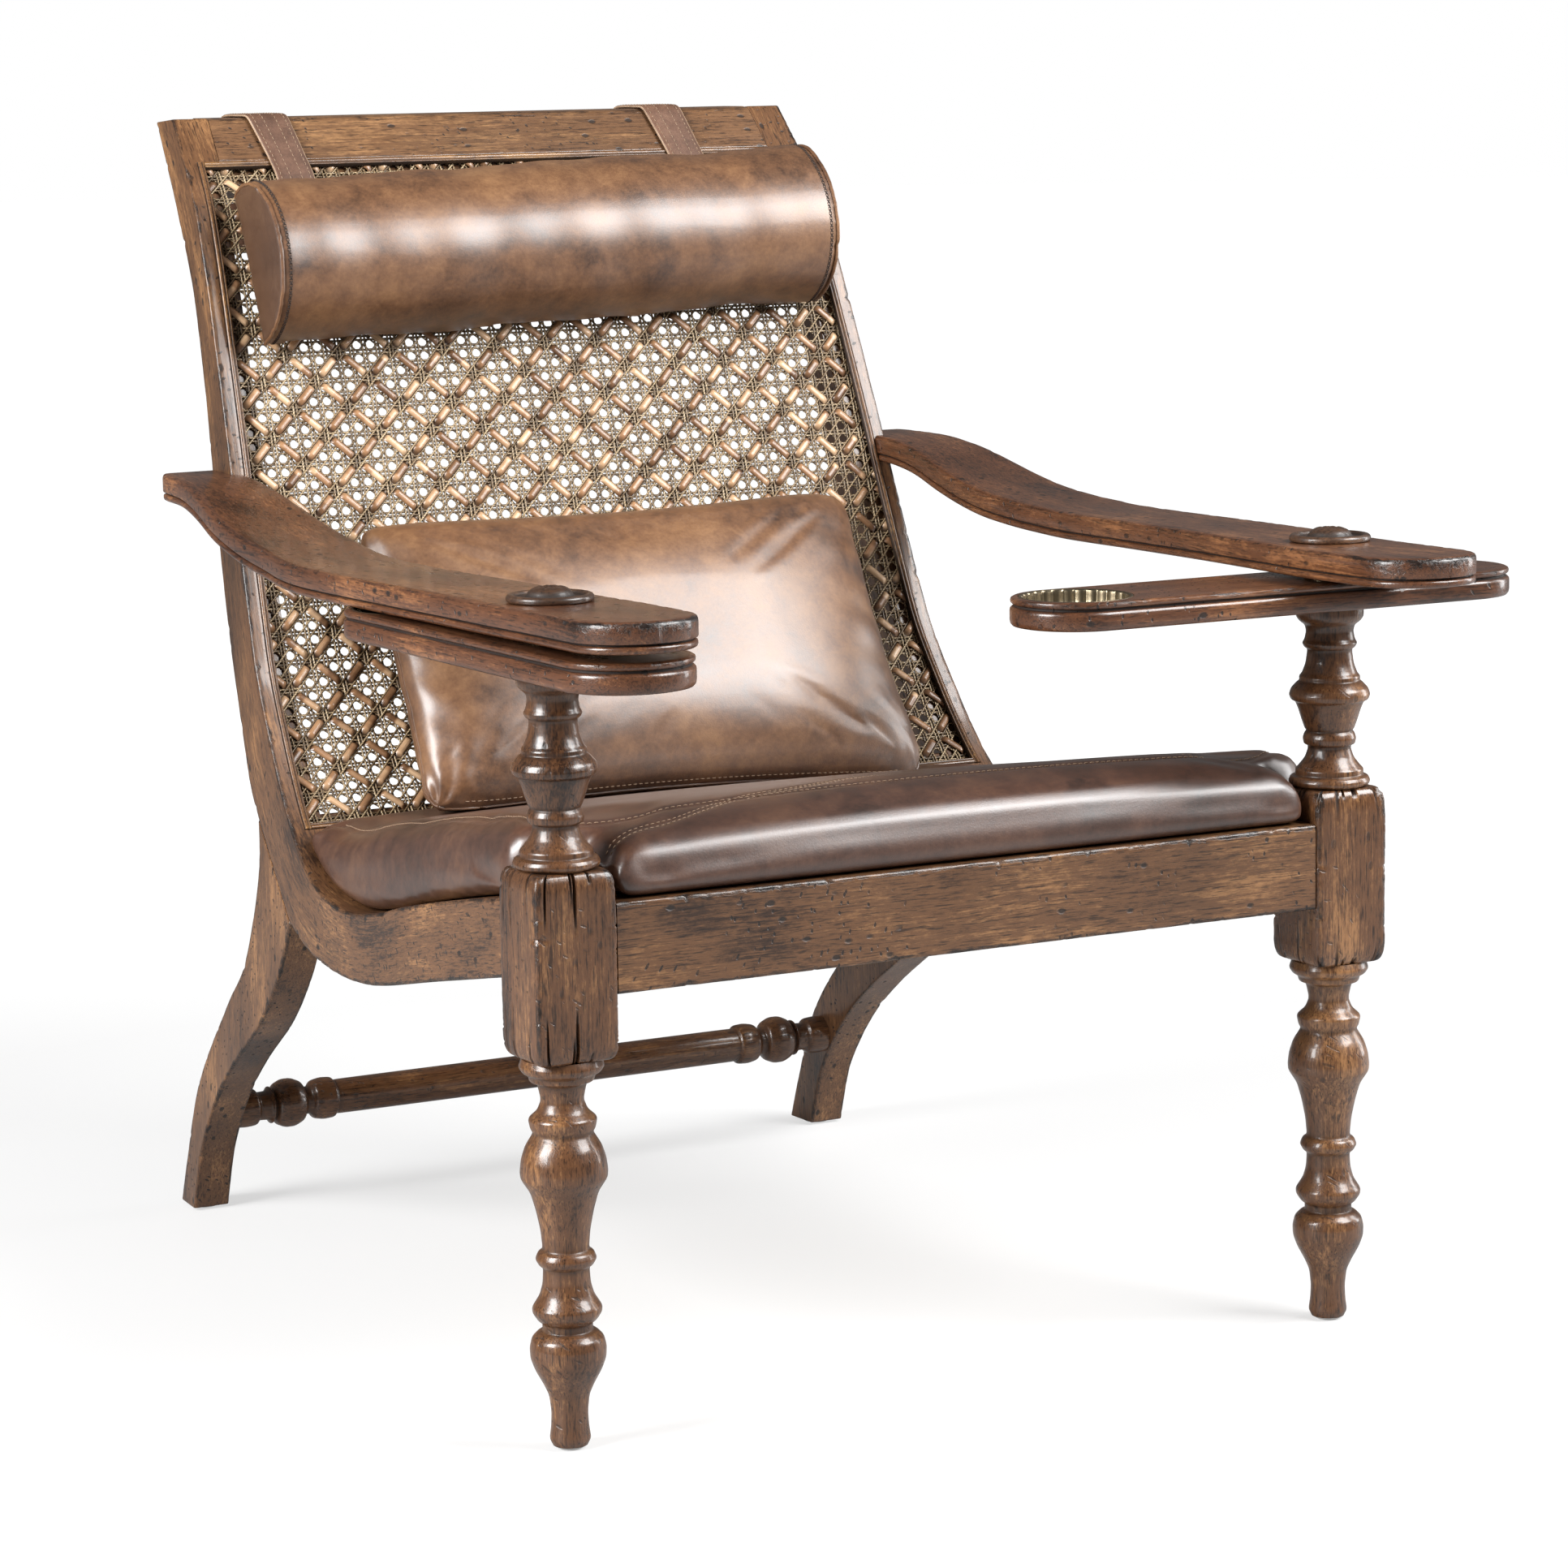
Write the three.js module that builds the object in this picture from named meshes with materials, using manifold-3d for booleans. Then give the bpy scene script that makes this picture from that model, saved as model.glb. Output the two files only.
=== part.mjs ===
// Planters chair: a low reclining armchair with sabre-curved side frames, turned front legs,
// a woven cane back, a leather seat, a loose pillow, a hung neck roll and two leg rests
// that swing out from under the arms. Millimetres, +Z up, the sitter faces -Y.
import * as THREE from 'three';
import * as BufferGeometryUtils from 'three/addons/utils/BufferGeometryUtils.js';
import Module from 'manifold-3d';

const wasm = await Module();
wasm.setup();

// Driving dimensions of the frame
const crestHeight = 978;
const backReach = 903;
const legSpacing = 684;
const blockWidth = 67;
const boardThickness = 33;
const faceSetIn = 5.9;
const splayShare = 0.0617;
const leanShare = 0.0299;
const blockHeight = 142;
const blockRise = 25;
const footSeat = 2.5;
const clearance = 0.3;
const cutOverrun = 6;

// Driving dimensions of the turned work
const turningRadius = 33;
const shoulderRadius = 28.5;
const stretcherHeight = 95.5;
const stretcherRadius = 22;
const tenonRadius = 8;
const tenonLength = 16;

// Driving dimensions of the seat and back
const frontRailThickness = 28;
const frontRailSetIn = 3.1;
const frontRailDepth = 68.5;
const arrisChamfer = 2;
const rearRailThickness = 30;
const crestThickness = 34;
const railLap = 15;
const seatBoardThickness = 12;
const cleatSize = 20;
const rebateDepth = 9;
const rebateSetIn = 12;
const beadWidth = 6;
const beadProud = 1;
const beadDepth = 3.4;
const caneThickness = 4;
const caneStrip = 13;
const caneBorder = 15;
const caneColumns = 9;
const caneRows = 17;
const caneTopShare = 0.9618;

// Driving dimensions of the arms, the leg rests and their pivots
const armTopHeight = 637.6;
const armThickness = 23.2;
const armRear = 738;
const armNose = 169;
const armReachOut = 397;
const paddleThickness = 22.8;
const paddleHalfWidth = 51.3;
const paddleTail = 287;
const paddleNose = 163;
const paddleGap = 4.2;
const cupRadius = 45;
const cupDepth = 15.5;
const cupWall = 1.6;
const cupFloor = 1.5;
const fluteDepth = 2;
const fluteCount = 30;
const pinRadius = 7;
const pinSeatDepth = 34;
const washerRadius = 21;
const capRadius = 32.5;
const capHeight = 7.6;
const stowedAngle = THREE.MathUtils.degToRad(92.5);
const swungAngle = THREE.MathUtils.degToRad(179.5);

// Driving dimensions of the leather pieces
const cushionThickness = 72;
const cushionSetIn = 8;
const cushionOverhang = 4;
const cushionSeatGap = 0.9;
const cushionBulge = 3;
const cushionCrown = 7;
const cushionRound = 22;
const cushionFrontRound = 34;
const pillowWidth = 486;
const pillowHeight = 270;
const pillowThickness = 108;
const pillowFootSetIn = 82;
const pillowTopSetIn = 57;
const pillowRiseShare = 0.85;
const pillowDrawIn = 11;
const pillowSettle = 1.35;
const bolsterLength = 544;
const bolsterRise = 134;
const bolsterDepth = 84;
const bolsterDrop = 186;
const bolsterTilt = THREE.MathUtils.degToRad(1.6);
const bolsterEndBulge = 6;
const strapThickness = 2.8;
const strapWidth = 44;
const strapLowerWidth = 36;
const strapSpreadShare = 0.719;
const strapShift = -11;
const strapLap = 45;
const strapDrop = 76;
const weightHeight = 46;
const weightThickness = 24;
const weightOverlap = 34;
const bolsterStrapGap = 1;
const glideFrontRadius = 10;
const glideBackRadius = 12;

// Sides of round work
const turnedSides = 16;
const boreSides = 12;
const seatSteps = 15;
const bisectTurns = 40;

// Side profile, as shares of the back reach and the crest height
const seatLineShares = [
  [0.0374, 0.4252], [0.1462, 0.407], [0.2791, 0.3814], [0.3488, 0.3655], [0.4286, 0.3538],
  [0.4961, 0.3569], [0.5426, 0.3701], [0.5847, 0.3978], [0.6213, 0.4335], [0.6556, 0.4755],
  [0.6888, 0.5215], [0.7132, 0.5726], [0.7353, 0.6237], [0.7575, 0.6769], [0.7813, 0.7331],
  [0.8062, 0.7894], [0.8333, 0.8487], [0.8645, 0.908], [0.887, 0.9387], [0.9147, 0.9693],
  [0.9446, 1],
];
const rearLineShares = [
  [0.6877, 0.3967], [0.7143, 0.4264], [0.7519, 0.499], [0.7807, 0.5624], [0.8051, 0.6309],
  [0.8261, 0.6973], [0.8472, 0.7628], [0.8826, 0.8476], [0.9325, 0.9172], [0.9945, 0.9918],
];
const stileTopShares = [[1, 0.9969], [0.9945, 1], [0.9524, 1]];
const crestFrontShare = 0.9985;
const crestRearShares = [0.992, 0.9612];
const undersideShares = [
  [0.5947, 0.318], [0.5537, 0.3057], [0.5116, 0.2991], [0.4574, 0.2965], [0.3909, 0.2996],
  [0.3267, 0.3088], [0.2104, 0.3313], [0.0532, 0.3609], [0.0374, 0.364],
];
const legFrontShares = [
  [0.5947, 0.318], [0.619, 0.2802], [0.6512, 0.2444], [0.6955, 0.2086], [0.7652, 0.1667],
  [0.8117, 0.1339], [0.8505, 0.0971], [0.8804, 0.0573], [0.9027, 0.0026],
];
const legRearShares = [
  [0.9457, 0.0026], [0.9258, 0.0481], [0.9003, 0.1012], [0.8771, 0.1339], [0.8372, 0.1728],
  [0.7818, 0.2209], [0.7398, 0.2546], [0.7099, 0.2986], [0.6921, 0.3374], [0.6855, 0.3681],
  [0.6877, 0.3967],
];
const lowestReachShare = 0.44;

// Turned profile of the leg below its block: shares of the turning radius and of the way up to the block
const legTurningShares = [
  [0.4, 0], [0.473, 0.0169], [0.433, 0.0489], [0.418, 0.086], [0.461, 0.1297],
  [0.582, 0.16], [0.764, 0.1973], [0.861, 0.2275], [0.873, 0.2548], [0.818, 0.28],
  [0.685, 0.2951], [0.573, 0.2986], [0.573, 0.3171], [0.682, 0.3272], [0.788, 0.3455],
  [0.794, 0.3591], [0.621, 0.3895], [0.545, 0.4198], [0.524, 0.4604], [0.621, 0.4688],
  [0.697, 0.484], [0.636, 0.5008], [0.524, 0.5093], [0.564, 0.5582], [0.655, 0.6087],
  [0.773, 0.656], [0.982, 0.6914], [0.997, 0.71], [0.964, 0.7403], [0.867, 0.774],
  [0.676, 0.8078], [0.742, 0.8212], [0.782, 0.8449], [0.576, 0.8651], [0.479, 0.8921],
  [0.564, 0.936], [0.727, 0.941], [0.764, 0.9561], [0.894, 0.9646], [0.97, 0.9781], [0.9, 1],
];

// Turned profile of the arm post: shares of the turning radius and of the post's height
const postTurningShares = [
  [0.864, 0.001], [0.97, 0.016], [0.988, 0.033], [0.939, 0.057], [0.824, 0.064],
  [0.824, 0.095], [0.745, 0.114], [0.594, 0.157], [0.518, 0.208], [0.533, 0.225],
  [0.624, 0.235], [0.648, 0.266], [0.606, 0.294], [0.561, 0.307], [0.606, 0.322],
  [0.679, 0.369], [0.758, 0.427], [0.833, 0.468], [0.939, 0.48], [0.982, 0.506],
  [0.933, 0.54], [0.806, 0.571], [0.733, 0.584], [0.736, 0.607], [0.667, 0.626],
  [0.582, 0.677], [0.536, 0.755], [0.618, 0.768], [0.664, 0.789], [0.606, 0.812],
  [0.57, 0.855], [0.606, 0.889], [0.745, 0.913], [0.818, 0.937], [0.818, 1],
];

// Loft of the square block: shares of its half width and of its height
const blockLoftShares = [
  [0.86, 0], [0.94, 0.03], [0.99, 0.09], [1, 0.5], [1, 0.9], [0.95, 0.965], [0.85, 1],
];
const blockChamferShare = 0.12;

// Half of the stretcher, from the middle out: shares of its radius and of its half length
const stretcherShares = [
  [0.72, 0], [0.718, 0.66], [0.7, 0.684], [0.84, 0.69], [0.87, 0.722], [0.79, 0.752],
  [0.57, 0.764], [0.57, 0.782], [0.83, 0.79], [1, 0.818], [1, 0.846], [0.84, 0.872],
  [0.62, 0.88], [0.78, 0.884], [0.79, 0.87], [0.79, 0.89], [0.6, 0.898], [0.58, 0.93],
  [0.76, 0.94], [0.8, 0.97], [0.77, 1],
];

// Plan of an arm: shares of its reach back, or of its nose, and of the furthest reach out
const armOuterShares = [
  [0.922, 1], [0.932, 0.98], [0.942, 0.92], [0.961, 0.84], [0.976, 0.77], [0.981, 0.7],
  [0.983, 0.64], [0.988, 0.585], [0.998, 0.53], [1, 0.46], [0.997, 0.36], [0.993, 0.24],
  [0.986, 0.13], [0.978, 0.03], [0.971, -0.26], [0.9685, -0.7],
];
const armInnerShares = [
  [0.782, 1], [0.781, 0.98], [0.781, 0.9], [0.779, 0.84], [0.77, 0.78], [0.764, 0.72],
  [0.761, 0.66], [0.764, 0.6], [0.772, 0.53], [0.771, 0.46], [0.769, 0.36], [0.763, 0.28],
  [0.753, 0.18], [0.738, 0.03], [0.727, -0.26], [0.7255, -0.7],
];
const armNoseSteps = 8;

// Height of an arm's top: shares of its reach back and of its height at the pivot
const armRiseShares = [
  [-0.25, 1.004], [-0.12, 1.002], [0, 1], [0.16, 0.9985], [0.325, 0.9958], [0.42, 0.9944],
  [0.49, 0.9945], [0.55, 0.9972], [0.6, 1.0016], [0.655, 1.008], [0.71, 1.0182],
  [0.765, 1.0315], [0.82, 1.0465], [0.87, 1.0565], [0.92, 1.0615], [1, 1.0625],
];

// Moulded edges, from the top down: shares of the moulding's depth and of the board's thickness
const mouldingDepth = 3;
const armEdgeShares = [
  [0.9, 0], [0, 0.12], [0, 0.66], [1, 0.69], [1, 0.75], [0.1, 0.8], [0.1, 0.94], [0.9, 1],
];
const paddleEdgeShares = [
  [0.9, 0], [0.1, 0.07], [0.1, 0.22], [1, 0.26], [1, 0.35], [0, 0.4], [0, 0.93], [0.7, 1],
];

// Dished cap over each pivot: shares of its radius and of its height, from the rim's foot up
const capShares = [
  [0.94, 0], [1, 0.1], [1, 0.42], [0.91, 0.66], [0.8, 0.5], [0.6, 0.3], [0.46, 0.42],
  [0.4, 0.72], [0.22, 0.95],
];

// Seat cushion: its thickness along the seat line, its stations and half of its section from the foot up
const cushionThicknessShares = [
  [-0.04, 0.62], [0.033, 0.69], [0.127, 0.86], [0.29, 0.965], [0.42, 1], [0.526, 0.6], [0.59, 0.12],
];
const cushionRollShares = [[0, 0.62], [0.03, 0.76], [0.15, 0.88], [0.4, 0.96], [0.8, 1]];
const cushionStationShares = [0.068, 0.11, 0.16, 0.215, 0.27, 0.325, 0.38, 0.43, 0.475, 0.515, 0.55];
const cushionSideShares = [[0.5, 0], [0.1, 0.06], [0, 0.3], [0.02, 0.6], [0.28, 0.88], [1, 1]];
const cushionTopShares = [0.7, 0.35];

// Pillow and neck roll sections
const pillowRingShares = [0.97, 0.88, 0.72, 0.48, 0.2];
const pillowSideSteps = 10;
const bolsterStationShares = [
  [-1, 0.94], [-0.985, 1], [-0.6, 0.985], [0, 1], [0.6, 0.985], [0.985, 1], [1, 0.94],
];
const bolsterArcSteps = 14;
const bolsterBackSteps = 6;
const endShrinkShare = 0.6;
const fullnessPower = 0.9;

// Finishes
const walnut = new THREE.MeshStandardMaterial({ color: 0x5f4029, roughness: 0.42, metalness: 0 });
const darkWalnut = new THREE.MeshStandardMaterial({ color: 0x3f2a1d, roughness: 0.4, metalness: 0 });
const plywood = new THREE.MeshStandardMaterial({ color: 0xb18c60, roughness: 0.7, metalness: 0 });
const cane = new THREE.MeshStandardMaterial({ color: 0xa5814f, roughness: 0.6, metalness: 0 });
const leather = new THREE.MeshStandardMaterial({ color: 0x6a4a36, roughness: 0.38, metalness: 0 });
const strapLeather = new THREE.MeshStandardMaterial({ color: 0x7c5a45, roughness: 0.55, metalness: 0 });
const brass = new THREE.MeshStandardMaterial({ color: 0xb9a67e, roughness: 0.35, metalness: 1 });
const steel = new THREE.MeshStandardMaterial({ color: 0x8d8d8a, roughness: 0.4, metalness: 1 });
const clearPad = new THREE.MeshStandardMaterial({ color: 0xd9d6cf, roughness: 0.5, metalness: 0 });

// Places worked out from the driving dimensions
const legAxis = legSpacing / 2;
const blockHalf = blockWidth / 2;
const seatLine = new THREE.SplineCurve(seatLineShares.map(sidePoint));
const rearLine = new THREE.SplineCurve(rearLineShares.map(sidePoint));
const legFrontLine = new THREE.SplineCurve(legFrontShares.map(sidePoint).reverse());
const legRearLine = new THREE.SplineCurve(legRearShares.map(sidePoint));
const railTop = seatLineShares[0][1] * crestHeight;
const blockTop = railTop + blockRise;
const blockFoot = blockTop - blockHeight;
const paddleBottom = armTopHeight - armThickness - paddleGap - paddleThickness;
const paddleTop = paddleBottom + paddleThickness;
const postTop = paddleBottom - clearance;
const lowestShare = shareAt(seatLine, 'x', lowestReachShare * backReach);
const caneFoot = railTop - blockRise;
const caneTop = crestHeight * caneTopShare;
const seatRear = backPoint(caneFoot - railLap).x - 2 * cutOverrun;
const stretcherReach = (reachAt(legFrontLine, stretcherHeight) + reachAt(legRearLine, stretcherHeight)) / 2;
const stretcherHalf = faceAt(stretcherReach, stretcherHeight) - boardThickness;
const armRise = new THREE.SplineCurve(armRiseShares.map(([reach, height]) => (
  new THREE.Vector2(reach * armRear, height * armTopHeight))));
const cushionRise = new THREE.SplineCurve(cushionThicknessShares.map(([reach, height]) => (
  new THREE.Vector2(reach * backReach, height * cushionThickness))));
const strapSpread = bolsterLength * strapSpreadShare;
const weightReach = backReach + clearance + strapThickness / 2;
const pillowFootReach = reachAt(seatLine, railTop, lowestShare) - pillowFootSetIn;
const pillowSeat = seatHeight(pillowFootReach) + cushionDepthAt(pillowFootReach);
const pillowFoot = pillowSeat + cushionCrown - pillowSettle;
const pillowLeanAt = reachAt(seatLine, pillowFoot + pillowRiseShare * pillowHeight, lowestShare);
const pillowTilt = Math.asin((pillowLeanAt - pillowTopSetIn - pillowFootReach) / pillowHeight);

/** A point of the side profile: reach to the back and height above the floor. */
function sidePoint([reachShare, heightShare]) {
  return new THREE.Vector2(reachShare * backReach, heightShare * crestHeight);
}

/** Distance of a side frame's outer face from the middle of the chair. */
function faceAt(reach, height) {
  const faceAtBlock = legAxis + blockHalf - faceSetIn;
  return faceAtBlock - splayShare * (reach - blockHalf) - leanShare * (height - railTop);
}

/** The share of a curve at which one of its coordinates takes a value. */
function shareAt(curve, axis, value, from = 0) {
  let low = from;
  let high = 1;
  for (let turn = 0; turn < bisectTurns; turn += 1) {
    const middle = (low + high) / 2;
    if (curve.getPoint(middle)[axis] < value) low = middle;
    else high = middle;
  }
  return (low + high) / 2;
}

/** The reach of a rising curve at a height. */
function reachAt(curve, height, from = 0) {
  return curve.getPoint(shareAt(curve, 'y', height, from)).x;
}

/** A point beside a curve, moved square to it: below the seat line and behind the back line. */
function besideLine(curve, share, behind) {
  const point = curve.getPoint(share);
  const tangent = curve.getTangent(share);
  return new THREE.Vector2(point.x + tangent.y * behind, point.y - tangent.x * behind);
}

function seatPoint(reach, below = 0) {
  return besideLine(seatLine, shareAt(seatLine, 'x', reach), below);
}

function backPoint(height, behind = 0) {
  return besideLine(seatLine, shareAt(seatLine, 'y', height, lowestShare), behind);
}

function backRun(fromHeight, toHeight, behind, steps) {
  return Array.from({ length: steps + 1 }, (_, step) => (
    backPoint(THREE.MathUtils.lerp(fromHeight, toHeight, step / steps), behind)));
}

function seatRun(fromReach, toReach, below, steps) {
  return Array.from({ length: steps + 1 }, (_, step) => (
    seatPoint(THREE.MathUtils.lerp(fromReach, toReach, step / steps), below)));
}

function seatHeight(reach) {
  return reach < blockHalf ? railTop : seatPoint(reach).y;
}

function armTop(reach) {
  return armRise.getPoint(shareAt(armRise, 'x', reach)).y;
}

/** An indexed geometry with shared corners and its faces pointing out. */
function closedBody(geometry) {
  const bare = geometry.clone();
  bare.deleteAttribute('normal');
  bare.deleteAttribute('uv');
  const body = BufferGeometryUtils.mergeVertices(bare);
  const index = body.getIndex();
  const position = body.getAttribute('position');
  const pointAt = (corner) => new THREE.Vector3().fromBufferAttribute(position, index.getX(corner));
  let volume = 0;
  for (let start = 0; start < index.count; start += 3) {
    volume += pointAt(start).dot(pointAt(start + 1).cross(pointAt(start + 2)));
  }
  if (volume < 0) {
    for (let start = 0; start < index.count; start += 3) {
      const second = index.getX(start + 1);
      index.setX(start + 1, index.getX(start + 2));
      index.setX(start + 2, second);
    }
  }
  return body;
}

function toSolid(geometry) {
  const body = closedBody(geometry);
  const mesh = new wasm.Mesh({
    numProp: 3,
    vertProperties: new Float32Array(body.getAttribute('position').array),
    triVerts: new Uint32Array(body.getIndex().array),
  });
  return new wasm.Manifold(mesh);
}

function fromSolid(solid) {
  const mesh = solid.getMesh();
  const geometry = new THREE.BufferGeometry();
  geometry.setAttribute('position', new THREE.BufferAttribute(mesh.vertProperties, 3));
  geometry.setIndex(new THREE.BufferAttribute(mesh.triVerts, 1));
  return geometry;
}

function join(...geometries) {
  return fromSolid(geometries.map(toSolid).reduce((sum, solid) => sum.add(solid)));
}

function cut(geometry, ...cutters) {
  return fromSolid(cutters.map(toSolid).reduce((rest, cutter) => rest.subtract(cutter), toSolid(geometry)));
}

/** Moves every vertex of a geometry by a function of its three coordinates. */
function reshape(geometry, place) {
  const position = geometry.getAttribute('position');
  for (let vertex = 0; vertex < position.count; vertex += 1) {
    position.setXYZ(vertex, ...place(position.getX(vertex), position.getY(vertex), position.getZ(vertex)));
  }
  return closedBody(geometry);
}

/** A closed skin over rings of equal count: fans close its ends, or rungs between its long sides. */
function loft(rings, rungs = false) {
  const count = rings[0].length;
  const points = rings.flat();
  const triangles = [];
  for (let ring = 0; ring + 1 < rings.length; ring += 1) {
    for (let step = 0; step < count; step += 1) {
      const a = ring * count + step;
      const b = ring * count + (step + 1) % count;
      triangles.push(a, b, a + count, b, b + count, a + count);
    }
  }
  [0, rings.length - 1].forEach((ring, end) => {
    const first = ring * count;
    if (rungs) {
      for (let step = 0; step + 1 < count / 2; step += 1) {
        const near = [first + step, first + step + 1];
        const far = [first + count - 1 - step, first + count - 2 - step];
        const quad = [near[0], far[0], near[1], near[1], far[0], far[1]];
        triangles.push(...(end === 0 ? quad : quad.reverse()));
      }
    } else {
      const middle = points.length;
      const sum = rings[ring].reduce((total, point) => total.add(point), new THREE.Vector3());
      points.push(sum.divideScalar(count));
      for (let step = 0; step < count; step += 1) {
        const fan = [middle, first + (step + 1) % count, first + step];
        triangles.push(...(end === 0 ? fan : fan.reverse()));
      }
    }
  });
  const geometry = new THREE.BufferGeometry().setFromPoints(points);
  geometry.setIndex(triangles);
  return closedBody(geometry);
}

function cylinder(radius, from, to, sides = boreSides) {
  const geometry = new THREE.CylinderGeometry(radius, radius, to - from, sides);
  geometry.rotateX(Math.PI / 2);
  geometry.translate(0, 0, (from + to) / 2);
  return geometry;
}

/** A turned piece about +Z, from a profile of [radius, height] pairs that it closes on the axis. */
function turned(profile, sides = turnedSides) {
  const points = profile.map(([radius, height]) => new THREE.Vector2(radius, height));
  points.unshift(new THREE.Vector2(0, profile[0][1]));
  points.push(new THREE.Vector2(0, profile[profile.length - 1][1]));
  const geometry = new THREE.LatheGeometry(points, sides);
  geometry.rotateX(Math.PI / 2);
  return closedBody(geometry);
}

/** An outline of reach and height, drawn out square to itself: by its full width unless told. */
function drawnOut(outline, depth = 1) {
  return new THREE.ExtrudeGeometry(new THREE.Shape(outline), { depth, bevelEnabled: false });
}

/** A board of one side frame, between two depths under the frame's slanted outer face. */
function sideBoard(outline, side, from, to) {
  return reshape(drawnOut(outline, to - from), (reach, height, depth) => (
    [side * (faceAt(reach, height) - from - depth), reach, height]));
}

/** A piece that spans the chair, its ends parallel to the side frames and a distance inside them. */
function crossPiece(outline, setIn) {
  return reshape(drawnOut(outline), (reach, height, share) => (
    [(2 * share - 1) * (faceAt(reach, height) - setIn), reach, height]));
}

/** The heights at which the cane, its rebate and its beads bend along the back line. */
function caneHeights() {
  const foot = caneFoot + caneBorder;
  const top = caneTop - caneBorder;
  return Array.from({ length: caneRows + 2 }, (_, row) => (
    THREE.MathUtils.lerp(foot, top, row / (caneRows + 1))));
}

/** A run along the cane's back line between two heights, bent where the cane bends. */
function caneRun(from, to, behind) {
  return [from, ...caneHeights(), to].map((height) => backPoint(height, behind));
}

/** The rebate for the cane, cut into the front of a stile. */
function rebateCutter(side) {
  const outline = [
    ...caneRun(caneFoot, caneTop, rebateDepth),
    ...caneRun(caneFoot, caneTop, -cutOverrun).reverse(),
  ];
  return sideBoard(outline, side, rebateSetIn, boardThickness + cutOverrun);
}

function stileAndRailOutline() {
  const railFront = blockHalf + clearance;
  const front = seatLine.getPoints(2 * seatLineShares.length - 2).map((point) => (
    new THREE.Vector2(Math.max(point.x, railFront), point.y)));
  const rear = rearLine.getPoints(rearLineShares.length + 5).reverse();
  const top = stileTopShares.map(sidePoint).reverse();
  const underside = undersideShares.map(sidePoint);
  underside[underside.length - 1].x = railFront;
  return [...front, ...top, ...rear, ...underside];
}

function sideFrame(side) {
  return cut(sideBoard(stileAndRailOutline(), side, 0, boardThickness), rebateCutter(side));
}

function backLeg(side) {
  const scarf = sidePoint(rearLineShares[0]).sub(sidePoint(undersideShares[0])).normalize();
  const apart = new THREE.Vector2(scarf.y, -scarf.x).multiplyScalar(clearance);
  const front = legFrontLine.getPoints(12).reverse();
  const outline = [...front, ...legRearLine.getPoints(14)].map((point) => point.clone().add(apart));
  outline.forEach((point) => {
    if (point.y < footSeat + clearance) point.y = footSeat;
  });
  const bore = cylinder(tenonRadius + clearance, 0, stretcherHalf + tenonLength + clearance);
  bore.rotateY(side * Math.PI / 2);
  bore.translate(0, stretcherReach, stretcherHeight);
  return cut(sideBoard(outline, side, 0, boardThickness), bore);
}

function stretcher() {
  const half = stretcherShares.map(([radius, reach]) => [
    radius * stretcherRadius, reach * (stretcherHalf - clearance - splayShare * stretcherRadius),
  ]);
  half.push([tenonRadius, half[half.length - 1][1]]);
  half.push([tenonRadius, stretcherHalf + tenonLength]);
  const profile = [...half.slice(1).map(([radius, reach]) => [radius, -reach]).reverse(), ...half];
  const piece = turned(profile, boreSides);
  piece.rotateY(Math.PI / 2);
  piece.translate(0, stretcherReach, stretcherHeight);
  return piece;
}

function frontLeg(side) {
  const lower = legTurningShares.map(([radius, height]) => (
    [radius * turningRadius, THREE.MathUtils.lerp(footSeat, blockFoot, height)]));
  lower.push([shoulderRadius, blockFoot + cutOverrun]);
  const upper = postTurningShares.map(([radius, height]) => (
    [radius * turningRadius, blockTop + height * (postTop - blockTop)]));
  upper.unshift([shoulderRadius, blockTop - cutOverrun]);
  const block = loft(blockLoftShares.map(([width, height]) => {
    const half = width * blockHalf;
    const flat = half - blockChamferShare * blockHalf;
    const z = blockFoot + height * blockHeight;
    return [[half, flat], [flat, half], [-flat, half], [-half, flat], [-half, -flat], [-flat, -half],
      [flat, -half], [half, -flat]].map(([x, y]) => new THREE.Vector3(x, y, z));
  }));
  const bore = cylinder(pinRadius + clearance, postTop - pinSeatDepth, postTop + cutOverrun);
  const leg = cut(join(turned(lower), block, turned(upper)), bore);
  leg.translate(side * legAxis, 0, 0);
  return leg;
}

function frontRail() {
  const front = frontRailSetIn - blockHalf;
  const rear = front + frontRailThickness;
  const foot = railTop - frontRailDepth;
  const outline = [
    [front, foot + arrisChamfer], [front + arrisChamfer, foot], [rear, foot], [rear, railTop],
    [front + arrisChamfer, railTop], [front, railTop - arrisChamfer],
  ].map(([reach, height]) => new THREE.Vector2(reach, height));
  const half = legAxis - blockHalf - clearance;
  return reshape(drawnOut(outline), (reach, height, share) => [(2 * share - 1) * half, reach, height]);
}

function rearRail() {
  const outline = [
    ...backRun(caneFoot - railLap, caneFoot - clearance, clearance, 2),
    ...backRun(caneFoot - clearance, caneFoot + railLap, rebateDepth, 2),
    ...backRun(caneFoot + railLap, caneFoot - railLap, rearRailThickness, 2),
  ];
  return crossPiece(outline, boardThickness + clearance);
}

function crestRail() {
  const lip = caneTop + clearance;
  const outline = [
    ...backRun(lip - railLap, lip, rebateDepth, 2),
    ...backRun(lip, crestHeight * crestFrontShare, clearance, 3),
    ...stileTopShares.map(sidePoint).reverse(),
    ...crestRearShares.map((share) => (
      besideLine(rearLine, shareAt(rearLine, 'y', share * crestHeight), -clearance))),
    backPoint(lip - railLap, crestThickness),
  ];
  return crossPiece(outline, boardThickness + clearance);
}

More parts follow.
